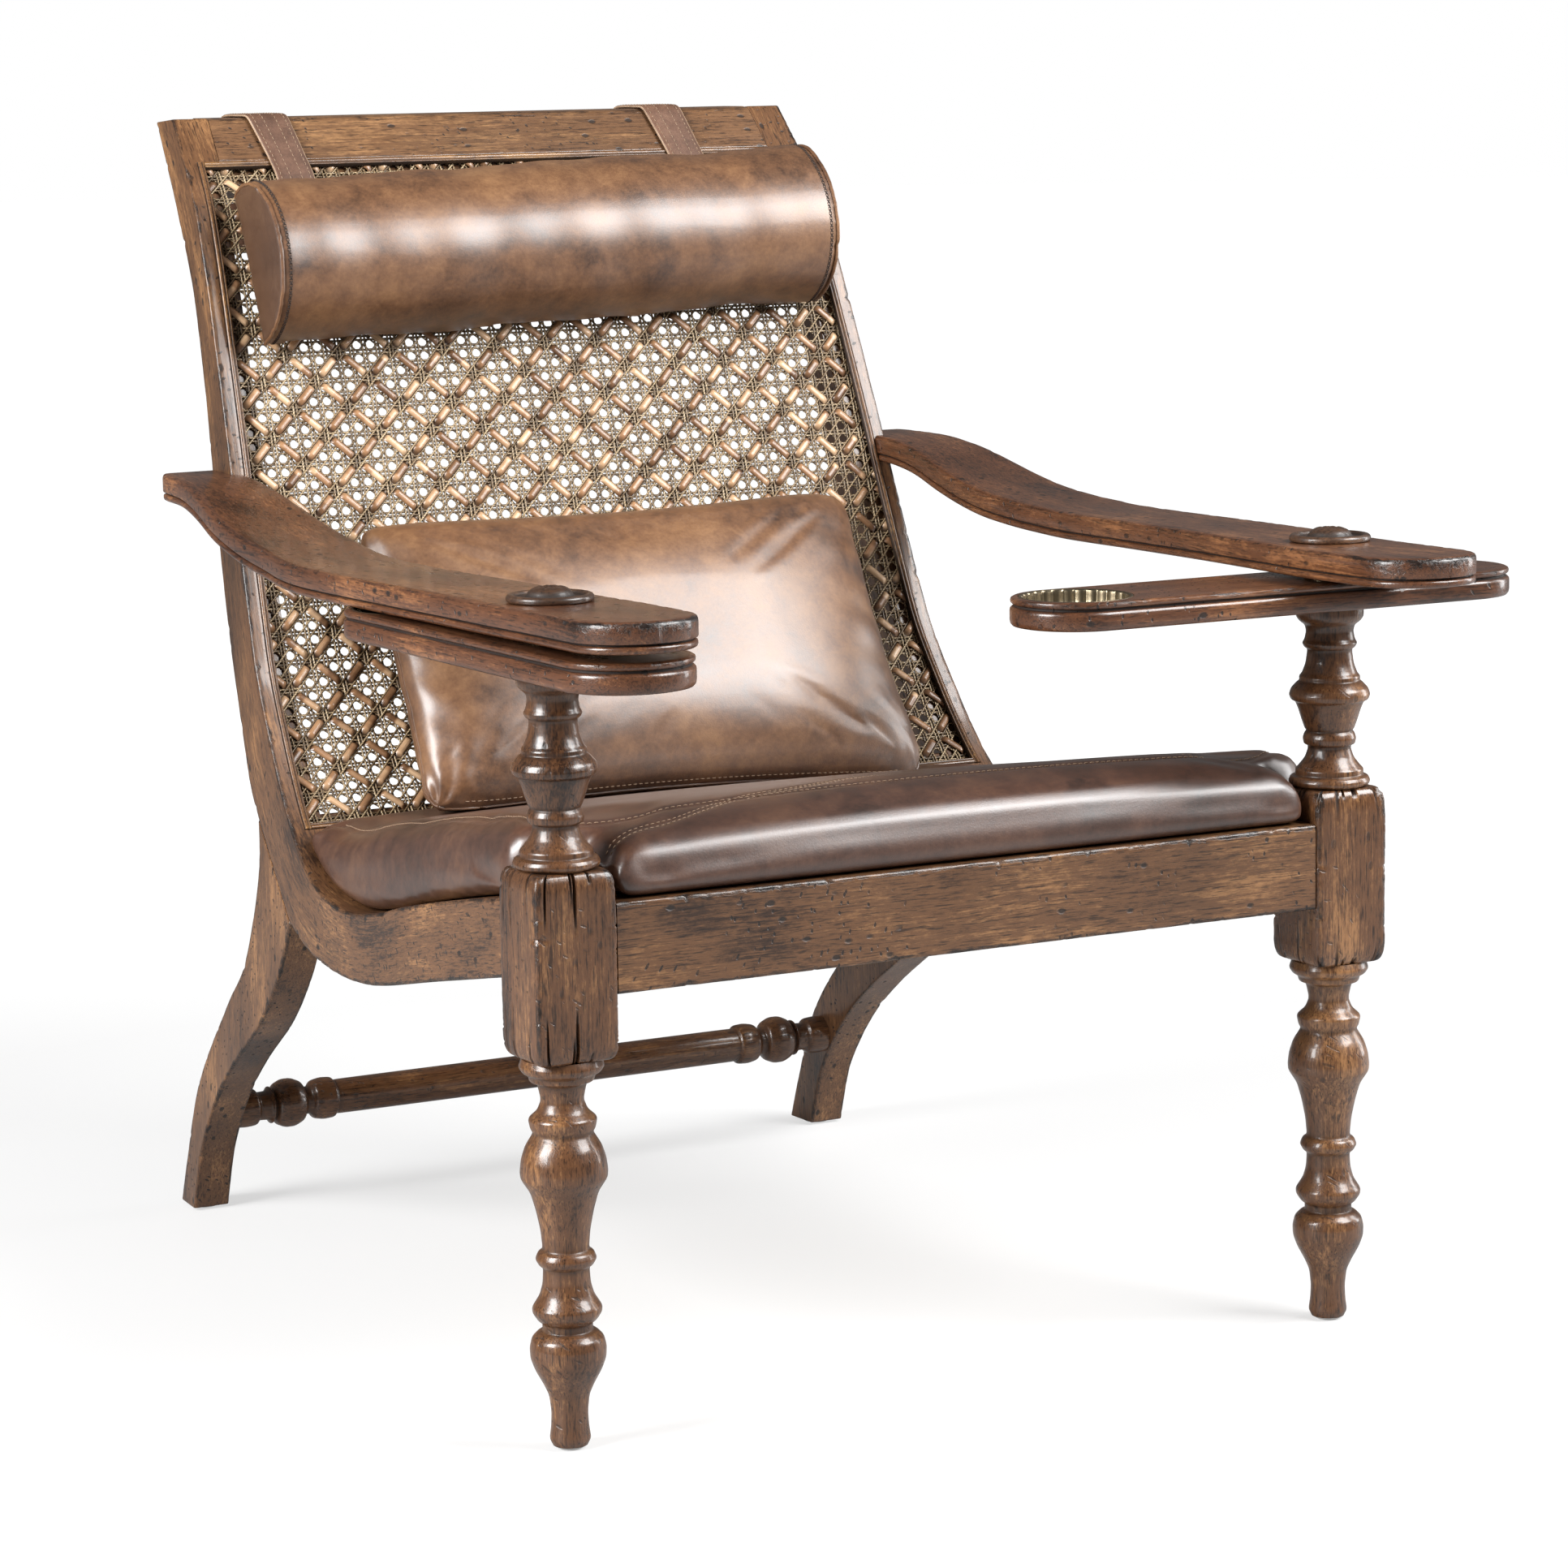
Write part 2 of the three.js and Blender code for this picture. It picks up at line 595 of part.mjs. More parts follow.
function seatBoard() {
  const front = frontRailSetIn - blockHalf + frontRailThickness + clearance;
  const outline = [
    new THREE.Vector2(front, railTop - clearance),
    ...seatRun(blockHalf, seatRear, clearance, seatSteps),
    ...seatRun(blockHalf, seatRear, clearance + seatBoardThickness, seatSteps).reverse(),
    new THREE.Vector2(front, railTop - clearance - seatBoardThickness),
  ];
  const board = crossPiece(outline, boardThickness + clearance);
  const notches = [-1, 1].map((side) => {
    const wide = blockWidth + 2 * clearance;
    const notch = new THREE.BoxGeometry(wide, wide, blockWidth);
    notch.translate(side * legAxis, 0, railTop);
    return notch;
  });
  return cut(board, ...notches);
}

function seatCleat(side) {
  const top = 2 * clearance + seatBoardThickness;
  const outline = [
    ...seatRun(blockHalf, seatRear, top, seatSteps).slice(1, -1),
    ...seatRun(blockHalf, seatRear, top + cleatSize, seatSteps).slice(1, -1).reverse(),
  ];
  return sideBoard(outline, side, boardThickness + clearance, boardThickness + cleatSize);
}

/** A flat net from its front triangles: the same at the back, and a wall along every open edge. */
function netFromFront(triangles, thickness) {
  const key = (point) => `${point.x.toFixed(3)} ${point.y.toFixed(3)}`;
  const edges = new Set();
  triangles.forEach((triangle) => triangle.forEach((point, corner) => (
    edges.add(`${key(point)} ${key(triangle[(corner + 1) % 3])}`))));
  const front = (point) => new THREE.Vector3(point.x, point.y, 0);
  const back = (point) => new THREE.Vector3(point.x, point.y, thickness);
  const soup = [];
  triangles.forEach((triangle) => {
    soup.push(...triangle.map(front), ...triangle.map(back).reverse());
    triangle.forEach((point, corner) => {
      const next = triangle[(corner + 1) % 3];
      if (edges.has(`${key(next)} ${key(point)}`)) return;
      soup.push(front(next), front(point), back(point), front(next), back(point), back(next));
    });
  });
  return new THREE.BufferGeometry().setFromPoints(soup);
}

/** The woven cane: a lattice with a gap in each diamond, made band by band and bent along the stiles. */
function canePanel() {
  const heights = caneHeights();
  const foot = caneFoot + clearance;
  const top = caneTop - clearance;
  const setIn = rebateSetIn + clearance;
  const halfAt = (height) => faceAt(backPoint(height, rebateDepth).x, height) - setIn;
  const meanHalf = halfAt((foot + top) / 2);
  const rise = heights[1] - heights[0];
  const reach = (meanHalf - caneBorder) / caneColumns;
  const strip = caneStrip * Math.SQRT1_2;
  const at = (across, height) => new THREE.Vector2(across / meanHalf * halfAt(height), height);
  const notchedLine = (row, height, up) => {
    const columns = row < 1 || row > caneRows ? 0 : caneColumns - (row + 1) % 2;
    const line = [at(-meanHalf, height)];
    for (let column = 0; column < columns; column += 1) {
      const across = (2 * column - columns + 1) * reach;
      const gap = reach - strip;
      line.push(at(across - gap, height), at(across, height + up * (rise - strip)));
      line.push(at(across + gap, height));
    }
    return [...line, at(meanHalf, height)];
  };
  const border = (from, to) => [at(-meanHalf, from), at(meanHalf, from), at(meanHalf, to), at(-meanHalf, to)];
  const bands = [border(foot, heights[0]), border(heights[caneRows + 1], top)];
  for (let row = 0; row <= caneRows; row += 1) {
    const above = notchedLine(row + 1, heights[row + 1], -1).reverse();
    bands.push([...notchedLine(row, heights[row], 1), ...above]);
  }
  const triangles = bands.flatMap((band) => (
    THREE.ShapeUtils.triangulateShape(band, []).map((corners) => corners.map((corner) => band[corner]))));
  const behind = rebateDepth - clearance - caneThickness;
  return reshape(netFromFront(triangles, caneThickness), (across, height, depth) => {
    const point = backPoint(height, behind + depth);
    return [across, point.x, point.y];
  });
}

function sideBead(side) {
  const outline = [
    ...caneRun(caneFoot + clearance, caneTop - clearance, beadDepth),
    ...caneRun(caneFoot + clearance, caneTop - clearance, -beadProud).reverse(),
  ];
  return sideBoard(outline, side, rebateSetIn + clearance, rebateSetIn + beadWidth);
}

function crossBead(from) {
  const outline = [
    ...backRun(from, from + beadWidth, beadDepth, 1),
    ...backRun(from + beadWidth - beadProud, from + beadProud, -beadProud, 1),
  ];
  return crossPiece(outline, rebateSetIn + beadWidth + clearance);
}

/** A board with a moulded edge: its plan, inset by each step of the moulding, under a top surface. */
function mouldedBoard(plan, thickness, edgeShares, topAt) {
  const count = plan.length;
  const inwards = plan.map((point, step) => {
    const before = plan[(step + count - 1) % count];
    const after = plan[(step + 1) % count];
    const along = after.clone().sub(before).normalize();
    return new THREE.Vector2(-along.y, along.x);
  });
  const rings = edgeShares.map(([insetShare, dropShare]) => plan.map((point, step) => {
    const moved = point.clone().addScaledVector(inwards[step], insetShare * mouldingDepth);
    return new THREE.Vector3(moved.x, moved.y, topAt(moved.y) - dropShare * thickness);
  }));
  return loft(rings, true);
}

/** Plan of the right arm, anticlockwise from its inner rear corner forward, round its nose and back. */
function armPlan() {
  const edge = (shares) => shares.map(([across, reach]) => (
    new THREE.Vector2(across * armReachOut, reach * (reach < 0 ? armNose : armRear))));
  const inner = edge(armInnerShares);
  const outer = edge(armOuterShares).reverse();
  const innerEnd = inner[inner.length - 1];
  const middle = (innerEnd.x + outer[0].x) / 2;
  const radius = (outer[0].x - innerEnd.x) / 2;
  const length = armNose + innerEnd.y;
  const nose = Array.from({ length: armNoseSteps }, (_, step) => {
    const angle = Math.PI * (step + 0.5) / armNoseSteps;
    return new THREE.Vector2(middle - radius * Math.cos(angle), innerEnd.y - length * Math.sin(angle));
  });
  return [...inner, ...nose, ...outer];
}

function armrest(side) {
  const board = mouldedBoard(armPlan(), armThickness, armEdgeShares, armTop);
  const armFoot = armTopHeight - 2 * armThickness;
  const armCrest = armTopHeight + 3 * armThickness;
  const stileRear = Math.max(armRear, backPoint(armCrest).x) + armThickness;
  const stile = [
    ...backRun(armFoot, armCrest, -clearance, 6),
    new THREE.Vector2(stileRear, armCrest),
    new THREE.Vector2(stileRear, armFoot),
  ];
  const notch = sideBoard(stile, 1, -clearance, boardThickness + clearance);
  const bore = cylinder(pinRadius + clearance, armTopHeight - 2 * armThickness, armTopHeight + cutOverrun);
  bore.translate(legAxis, 0, 0);
  const arm = cut(board, notch, bore);
  arm.scale(side, 1, 1);
  return closedBody(arm);
}

/** Plan of a leg rest with its pivot at the origin and its tail along +Y. */
function paddlePlan() {
  const endSteps = 10;
  const arc = (centre, start) => Array.from({ length: endSteps }, (_, step) => {
    const angle = start + Math.PI * (step + 0.5) / endSteps;
    return new THREE.Vector2(paddleHalfWidth * Math.cos(angle), centre + paddleHalfWidth * Math.sin(angle));
  });
  const tail = arc(paddleTail - paddleHalfWidth, 0);
  const nose = arc(paddleHalfWidth - paddleNose, Math.PI);
  const half = endSteps / 2;
  return [...tail.slice(half), ...nose, ...tail.slice(0, half)];
}

function legRestSeat(side) {
  const seat = new THREE.Group();
  seat.position.set(side * legAxis, 0, 0);
  const inwardTurn = side < 0 ? stowedAngle - Math.PI / 2 : swungAngle - Math.PI / 2;
  seat.rotation.z = inwardTurn;
  return seat;
}

function legRest() {
  const board = mouldedBoard(paddlePlan(), paddleThickness, paddleEdgeShares, () => paddleTop);
  const recess = cylinder(cupRadius, paddleTop - cupDepth, paddleTop + cutOverrun, 2 * fluteCount);
  recess.translate(0, paddleTail - paddleHalfWidth, 0);
  const bore = cylinder(pinRadius + clearance, paddleBottom - cutOverrun, paddleTop + cutOverrun);
  return cut(board, recess, bore);
}

/** The fluted liner of the cup recess: an open dish with a floor. */
function cupRing() {
  const outer = cupRadius - clearance;
  const inner = outer - cupWall;
  const foot = paddleTop - cupDepth + clearance;
  const around = (radius, height, flutes = 0) => Array.from({ length: 2 * fluteCount }, (_, step) => {
    const angle = Math.PI * (step + 0.5) / fluteCount;
    const reach = radius - flutes * (step % 2);
    return new THREE.Vector3(reach * Math.cos(angle), reach * Math.sin(angle), height);
  });
  const ring = loft([
    around(outer, foot), around(outer, paddleTop), around(inner, paddleTop),
    around(inner - cupWall / 2, paddleTop - cupWall, fluteDepth),
    around(inner - cupWall / 2, foot + cupFloor, fluteDepth),
  ]);
  ring.translate(0, paddleTail - paddleHalfWidth, 0);
  return ring;
}

function pivotPin() {
  return cylinder(pinRadius, postTop - pinSeatDepth + clearance, armTopHeight - clearance);
}

function pivotWasher() {
  const from = paddleTop + clearance;
  const to = armTopHeight - armThickness - 3 * clearance;
  return cut(
    cylinder(washerRadius, from, to, turnedSides),
    cylinder(pinRadius + clearance, from - cutOverrun, to + cutOverrun),
  );
}

function pivotCap() {
  const seat = armTop(-capRadius) + clearance;
  return turned(capShares.map(([radius, height]) => [radius * capRadius, seat + height * capHeight]), 20);
}

function cushionDepthAt(reach) {
  return cushionRise.getPoint(shareAt(cushionRise, 'x', reach)).y;
}

/** One section across the cushion: a flat foot, bulging sides, rounded shoulders and a crown. */
function cushionSection(reach, half, shrink) {
  const foot = seatHeight(reach) + cushionSeatGap;
  const depth = cushionDepthAt(reach) * shrink;
  const round = cushionRound * (0.5 + shrink / 2);
  const sides = cushionSideShares.map(([inset, rise]) => {
    const bulge = cushionBulge * (1 - Math.abs(2 * rise - 1));
    return [half - cushionBulge + bulge - inset * round, foot + rise * depth];
  });
  const shoulder = sides[sides.length - 1];
  const crowned = cushionTopShares.map((share) => (
    [share * shoulder[0], shoulder[1] + shrink * cushionCrown * (1 - share * share)]));
  const right = [...sides, ...crowned];
  const middle = [0, shoulder[1] + shrink * cushionCrown];
  const left = right.slice().reverse().map(([across, height]) => [-across, height]);
  return [...right, middle, ...left].map(([across, height]) => new THREE.Vector3(across, reach, height));
}

/** The seat cushion, lofted from its front roll, past the leg blocks, to its thin rear edge. */
function seatCushion() {
  const front = frontRailSetIn - blockHalf + cushionOverhang;
  const narrow = legAxis - blockHalf - cushionOverhang;
  const notchRear = blockHalf + cushionOverhang;
  const rear = backPoint(caneFoot - clearance).x - cushionSetIn;
  const sideAt = (reach) => faceAt(reach, seatHeight(reach)) - cushionSetIn;
  const sections = cushionRollShares.map(([reach, shrink]) => (
    cushionSection(front + reach * cushionFrontRound, narrow, shrink)));
  sections.push(cushionSection(notchRear - clearance, narrow, 1));
  sections.push(cushionSection(notchRear, sideAt(notchRear) - cushionRound / 2, 1));
  cushionStationShares.forEach((share) => {
    const reach = share * backReach;
    sections.push(cushionSection(reach, sideAt(reach), 1));
  });
  sections.push(cushionSection(rear - cushionSetIn, sideAt(rear) - cushionSetIn / 2, 1));
  sections.push(cushionSection(rear, sideAt(rear) - cushionRound, endShrinkShare));
  return loft(sections);
}

/** The pillow: two crowned halves that meet in a seam, with drawn-in sides and full corners. */
function lumbarPillow() {
  const steps = pillowSideSteps;
  const edge = Array.from({ length: steps }, (_, step) => 2 * step / steps - 1);
  const square = [
    ...edge.map((share) => [share, -1]), ...edge.map((share) => [1, share]),
    ...edge.map((share) => [-share, 1]), ...edge.map((share) => [-1, -share]),
  ];
  const place = (across, up, out) => {
    const drawUp = pillowDrawIn * (1 - across * across) * up;
    const drawSide = pillowDrawIn * (1 - up * up) * across;
    const along = (up + 1) * pillowHeight / 2 - drawUp;
    const x = across * pillowWidth / 2 - drawSide;
    const y = pillowFootReach + along * Math.sin(pillowTilt) - out * Math.cos(pillowTilt);
    return new THREE.Vector3(x, y, pillowFoot + along * Math.cos(pillowTilt) + out * Math.sin(pillowTilt));
  };
  const fullness = (across, up) => pillowThickness / 2 * Math.sqrt((1 - across ** 4) * (1 - up ** 4));
  const rings = [];
  const half = (sign, shares) => shares.forEach((share) => rings.push(square.map(([across, up]) => (
    place(share * across, share * up, sign * fullness(share * across, share * up))))));
  half(-1, [...pillowRingShares].reverse());
  half(0, [1]);
  half(1, pillowRingShares);
  return loft(rings);
}

/** The neck roll: a D section that leans on the back line, with flat ends. */
function headrestBolster() {
  const middle = crestHeight - bolsterDrop + bolsterRise / 2;
  const standOff = beadProud + clearance + strapThickness + bolsterStrapGap;
  const section = (across, scale) => {
    const lift = across * Math.tan(bolsterTilt);
    const at = (rise, depth) => {
      const point = backPoint(middle + lift + scale * rise, -standOff - scale * depth);
      return new THREE.Vector3(across, point.x, point.y);
    };
    const arc = Array.from({ length: bolsterArcSteps + 1 }, (_, step) => {
      const angle = Math.PI * step / bolsterArcSteps;
      return at(-Math.cos(angle) * bolsterRise / 2, Math.sin(angle) ** fullnessPower * bolsterDepth);
    });
    const back = Array.from({ length: bolsterBackSteps - 1 }, (_, step) => (
      at(bolsterRise * (0.5 - (step + 1) / bolsterBackSteps), 0)));
    return [...arc, ...back];
  };
  const half = bolsterLength / 2;
  const rings = bolsterStationShares.map(([across, scale]) => section(across * half, scale));
  rings.unshift(section(-half - bolsterEndBulge / 2, endShrinkShare));
  rings.push(section(half + bolsterEndBulge / 2, endShrinkShare));
  return loft(rings);
}

/** One strap: from behind the neck roll, up over the crest rail and down to the counterweight. */
function headrestStrap(side) {
  const off = beadProud + clearance;
  const inner = [
    ...backRun(caneTop - strapLap, caneTop + cutOverrun, -off, 5),
    ...backRun(caneTop + 2 * cutOverrun, crestHeight - clearance, -off, 2),
    ...stileTopShares.map(sidePoint).reverse().map((point) => point.addScalar(clearance)),
    new THREE.Vector2(backReach + clearance, crestHeight - strapDrop),
  ];
  const outer = inner.map((point, step) => {
    const before = inner[Math.max(step - 1, 0)];
    const after = inner[Math.min(step + 1, inner.length - 1)];
    const along = after.clone().sub(before).normalize();
    return point.clone().add(new THREE.Vector2(-along.y, along.x).multiplyScalar(strapThickness));
  });
  const lowReach = backPoint(caneTop).x;
  const highReach = backPoint(crestHeight).x;
  return reshape(drawnOut([...inner, ...outer.reverse()]), (reach, height, share) => {
    const widening = THREE.MathUtils.clamp((reach - lowReach) / (highReach - lowReach), 0, 1);
    const width = THREE.MathUtils.lerp(strapLowerWidth, strapWidth, widening);
    return [strapShift + side * strapSpread / 2 + (share - 0.5) * width, reach, height];
  });
}

function headrestCounterweight() {
  const top = crestHeight - strapDrop - clearance;
  const half = strapSpread / 2 + weightOverlap;
  const round = weightThickness / 2;
  const outline = Array.from({ length: 12 }, (_, step) => {
    const angle = Math.PI * step / 6;
    const end = Math.sin(angle) > 0 ? -round : round - weightHeight;
    return new THREE.Vector2(weightReach + round * Math.cos(angle), top + end + round * Math.sin(angle));
  });
  return reshape(drawnOut(outline), (reach, height, share) => [
    strapShift + (2 * share - 1) * half, reach, height,
  ]);
}

function footGlide(x, y, radius) {
  const glide = cylinder(radius, 0, footSeat - clearance, turnedSides);
  glide.translate(x, y, 0);
  return glide;
}

const chair = new THREE.Group();

function add(name, geometry, material, parent = chair) {
  const mesh = new THREE.Mesh(geometry, material);
  mesh.name = name;
  parent.add(mesh);
}

[['left', -1], ['right', 1]].forEach(([hand, side]) => {
  add(`${hand}_side_frame`, sideFrame(side), walnut);
  add(`${hand}_back_leg`, backLeg(side), walnut);
  add(`${hand}_front_leg`, frontLeg(side), walnut);
  add(`${hand}_seat_cleat`, seatCleat(side), walnut);
  add(`${hand}_cane_bead`, sideBead(side), walnut);
  add(`${hand}_armrest`, armrest(side), walnut);
  const post = new THREE.Group();
  post.position.set(side * legAxis, 0, 0);
  chair.add(post);
  add(`${hand}_pivot_pin`, pivotPin(), steel, post);
  add(`${hand}_pivot_washer`, pivotWasher(), brass, post);
  add(`${hand}_pivot_cap`, pivotCap(), darkWalnut, post);
  const rest = legRestSeat(side);
  chair.add(rest);
  add(`${hand}_leg_rest`, legRest(), walnut, rest);
  add(`${hand}_cup_ring`, cupRing(), brass, rest);
  add(`${hand}_headrest_strap`, headrestStrap(side), strapLeather);
  add(`${hand}_front_glide`, footGlide(side * legAxis, 0, glideFrontRadius), clearPad);
  const footReach = backReach * (legFrontShares[legFrontShares.length - 1][0] + legRearShares[0][0]) / 2;
  const footMiddle = faceAt(footReach, 0) - boardThickness / 2;
  add(`${hand}_back_glide`, footGlide(side * footMiddle, footReach, glideBackRadius), clearPad);
});

add('stretcher', stretcher(), walnut);
add('front_seat_rail', frontRail(), walnut);
add('rear_seat_rail', rearRail(), walnut);
add('crest_rail', crestRail(), walnut);
add('seat_board', seatBoard(), plywood);
add('cane_panel', canePanel(), cane);
add('top_cane_bead', crossBead(caneTop - clearance - beadWidth), walnut);
add('bottom_cane_bead', crossBead(caneFoot + clearance), walnut);
add('seat_cushion', seatCushion(), leather);
add('lumbar_pillow', lumbarPillow(), leather);
add('headrest_bolster', headrestBolster(), leather);
add('headrest_counterweight', headrestCounterweight(), strapLeather);

// The origin lies on the floor, under the middle of the chair as it stands with one leg rest swung in
const widest = armReachOut;
const furthestNose = legAxis + paddleNose;
const rearmost = weightReach + weightThickness / 2;
chair.position.set((widest - furthestNose) / 2, (armNose - rearmost) / 2, 0);

export default chair;
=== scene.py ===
import math

import bmesh
import bpy
import numpy as np
from mathutils import Matrix, Vector
from mathutils.bvhtree import BVHTree


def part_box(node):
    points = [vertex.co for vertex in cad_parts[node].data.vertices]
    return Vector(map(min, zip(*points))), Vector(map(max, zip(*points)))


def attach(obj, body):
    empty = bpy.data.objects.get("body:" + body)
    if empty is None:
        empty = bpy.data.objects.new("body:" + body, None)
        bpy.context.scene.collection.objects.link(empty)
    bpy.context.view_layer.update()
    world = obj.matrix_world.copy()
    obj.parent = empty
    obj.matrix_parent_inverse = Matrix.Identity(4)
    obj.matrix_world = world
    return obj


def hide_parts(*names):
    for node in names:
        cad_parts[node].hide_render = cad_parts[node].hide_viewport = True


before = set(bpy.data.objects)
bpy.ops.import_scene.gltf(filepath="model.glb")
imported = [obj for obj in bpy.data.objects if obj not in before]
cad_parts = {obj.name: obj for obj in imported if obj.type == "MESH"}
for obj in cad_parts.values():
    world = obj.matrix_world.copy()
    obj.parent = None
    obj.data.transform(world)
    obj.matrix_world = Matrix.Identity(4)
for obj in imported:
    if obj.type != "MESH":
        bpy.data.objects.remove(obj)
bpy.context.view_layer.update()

SIDES = (("left", -1), ("right", 1))

# The chair's own place: across from its middle, back from its front legs and up from the floor, in mm
POSTS = np.array([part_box(f"{hand}_front_leg") for hand, _ in SIDES]) * 1000
HOME = POSTS.mean(axis=(0, 1)) * (1, 1, 0)

# Sizes of the frame, in mm
CREST, REACH = 978.0, 903.0
LEG_AXIS, BLOCK_HALF, BOARD = 342.0, 33.5, 33.0
RAIL_TOP = 0.4252 * CREST
BLOCK_TOP = RAIL_TOP + 25
BLOCK_TALL = 142
BLOCK_FOOT = BLOCK_TOP - BLOCK_TALL
FOOT_SEAT = 2.5
TURNING, SHOULDER = 33.0, 28.5
CANE_FOOT, CANE_TOP = RAIL_TOP - 25, CREST * 0.9618
ARM_TOP, ARM_THICK, ARM_REAR, ARM_NOSE, ARM_OUT = 637.6, 23.2, 738.0, 169.0, 397.0
PADDLE_THICK, PADDLE_HALF, PADDLE_TAIL, PADDLE_NOSE = 22.8, 51.3, 287.0, 163.0
PADDLE_TOP = ARM_TOP - ARM_THICK - 4.2
POST_TOP = PADDLE_TOP - PADDLE_THICK - 0.3
CUP_RADIUS, CUP_DEPTH = 45.0, 15.5
CAP_RADIUS, CAP_HEIGHT = 32.5, 7.6
GAP = 0.3
RAIL_FRONT, RAIL_THICK, RAIL_TALL = 3.1 - BLOCK_HALF, 28, 68.5
STRETCHER_HEIGHT, STRETCHER_RADIUS = 95.5, 22
MARGIN, ARC_STEPS = 2.4, 4

SEAT_LINE = [
    (0.0374, 0.4252), (0.1462, 0.407), (0.2791, 0.3814), (0.3488, 0.3655), (0.4286, 0.3538),
    (0.4961, 0.3569), (0.5426, 0.3701), (0.5847, 0.3978), (0.6213, 0.4335), (0.6556, 0.4755),
    (0.6888, 0.5215), (0.7132, 0.5726), (0.7353, 0.6237), (0.7575, 0.6769), (0.7813, 0.7331),
    (0.8062, 0.7894), (0.8333, 0.8487), (0.8645, 0.908), (0.887, 0.9387), (0.9147, 0.9693),
    (0.9446, 1)]
REAR_LINE = [
    (0.6877, 0.3967), (0.7143, 0.4264), (0.7519, 0.499), (0.7807, 0.5624), (0.8051, 0.6309),
    (0.8261, 0.6973), (0.8472, 0.7628), (0.8826, 0.8476), (0.9325, 0.9172), (0.9945, 0.9918)]
UNDERSIDE = [
    (0.0374, 0.364), (0.0532, 0.3609), (0.2104, 0.3313), (0.3267, 0.3088), (0.3909, 0.2996),
    (0.4574, 0.2965), (0.5116, 0.2991), (0.5537, 0.3057), (0.5947, 0.318)]
LEG_FRONT = [
    (0.5947, 0.318), (0.619, 0.2802), (0.6512, 0.2444), (0.6955, 0.2086), (0.7652, 0.1667),
    (0.8117, 0.1339), (0.8505, 0.0971), (0.8804, 0.0573), (0.9027, 0.0026)]
LEG_REAR = [
    (0.6877, 0.3967), (0.6855, 0.3681), (0.6921, 0.3374), (0.7099, 0.2986), (0.7398, 0.2546),
    (0.7818, 0.2209), (0.8372, 0.1728), (0.8771, 0.1339), (0.9003, 0.1012), (0.9258, 0.0481),
    (0.9457, 0.0026)]
LEG_TURNING = [
    (0.4, 0), (0.473, 0.0169), (0.433, 0.0489), (0.418, 0.086), (0.461, 0.1297),
    (0.582, 0.16), (0.764, 0.1973), (0.861, 0.2275), (0.873, 0.2548), (0.818, 0.28),
    (0.685, 0.2951), (0.573, 0.2986), (0.573, 0.3171), (0.682, 0.3272), (0.788, 0.3455),
    (0.794, 0.3591), (0.621, 0.3895), (0.545, 0.4198), (0.524, 0.4604), (0.621, 0.4688),
    (0.697, 0.484), (0.636, 0.5008), (0.524, 0.5093), (0.564, 0.5582), (0.655, 0.6087),
    (0.773, 0.656), (0.982, 0.6914), (0.997, 0.71), (0.964, 0.7403), (0.867, 0.774),
    (0.676, 0.8078), (0.742, 0.8212), (0.782, 0.8449), (0.576, 0.8651), (0.479, 0.8921),
    (0.564, 0.936), (0.727, 0.941), (0.764, 0.9561), (0.894, 0.9646), (0.97, 0.9781), (0.9, 1)]
POST_TURNING = [
    (0.864, 0.001), (0.97, 0.016), (0.988, 0.033), (0.939, 0.057), (0.824, 0.064),
    (0.824, 0.095), (0.745, 0.114), (0.594, 0.157), (0.518, 0.208), (0.533, 0.225),
    (0.624, 0.235), (0.648, 0.266), (0.606, 0.294), (0.561, 0.307), (0.606, 0.322),
    (0.679, 0.369), (0.758, 0.427), (0.833, 0.468), (0.939, 0.48), (0.982, 0.506),
    (0.933, 0.54), (0.806, 0.571), (0.733, 0.584), (0.736, 0.607), (0.667, 0.626),
    (0.582, 0.677), (0.536, 0.755), (0.618, 0.768), (0.664, 0.789), (0.606, 0.812),
    (0.57, 0.855), (0.606, 0.889), (0.745, 0.913), (0.818, 0.937), (0.818, 1)]
STRETCHER_TURNING = [
    (0.72, 0), (0.718, 0.66), (0.7, 0.684), (0.84, 0.69), (0.87, 0.722), (0.79, 0.752),
    (0.57, 0.764), (0.57, 0.782), (0.83, 0.79), (1, 0.818), (1, 0.846), (0.84, 0.872),
    (0.6, 0.88), (0.62, 0.884), (0.79, 0.89), (0.6, 0.898), (0.58, 0.93),
    (0.76, 0.94), (0.8, 0.97), (0.77, 1)]
ARM_OUTER = [
    (0.922, 1), (0.932, 0.98), (0.942, 0.92), (0.961, 0.84), (0.976, 0.77), (0.981, 0.7),
    (0.983, 0.64), (0.988, 0.585), (0.998, 0.53), (1, 0.46), (0.997, 0.36), (0.993, 0.24),
    (0.986, 0.13), (0.978, 0.03), (0.971, -0.26), (0.9685, -0.7)]
ARM_INNER = [
    (0.782, 1), (0.781, 0.98), (0.781, 0.9), (0.779, 0.84), (0.77, 0.78), (0.764, 0.72),
    (0.761, 0.66), (0.764, 0.6), (0.772, 0.53), (0.771, 0.46), (0.769, 0.36), (0.763, 0.28),
    (0.753, 0.18), (0.738, 0.03), (0.727, -0.26), (0.7255, -0.7)]
ARM_RISE = [
    (-0.25, 1.004), (-0.12, 1.002), (0, 1), (0.16, 0.9985), (0.325, 0.9958), (0.42, 0.9944),
    (0.49, 0.9945), (0.55, 0.9972), (0.6, 1.0016), (0.655, 1.008), (0.71, 1.0182),
    (0.765, 1.0315), (0.82, 1.0465), (0.87, 1.0565), (0.92, 1.0615), (1, 1.0625)]
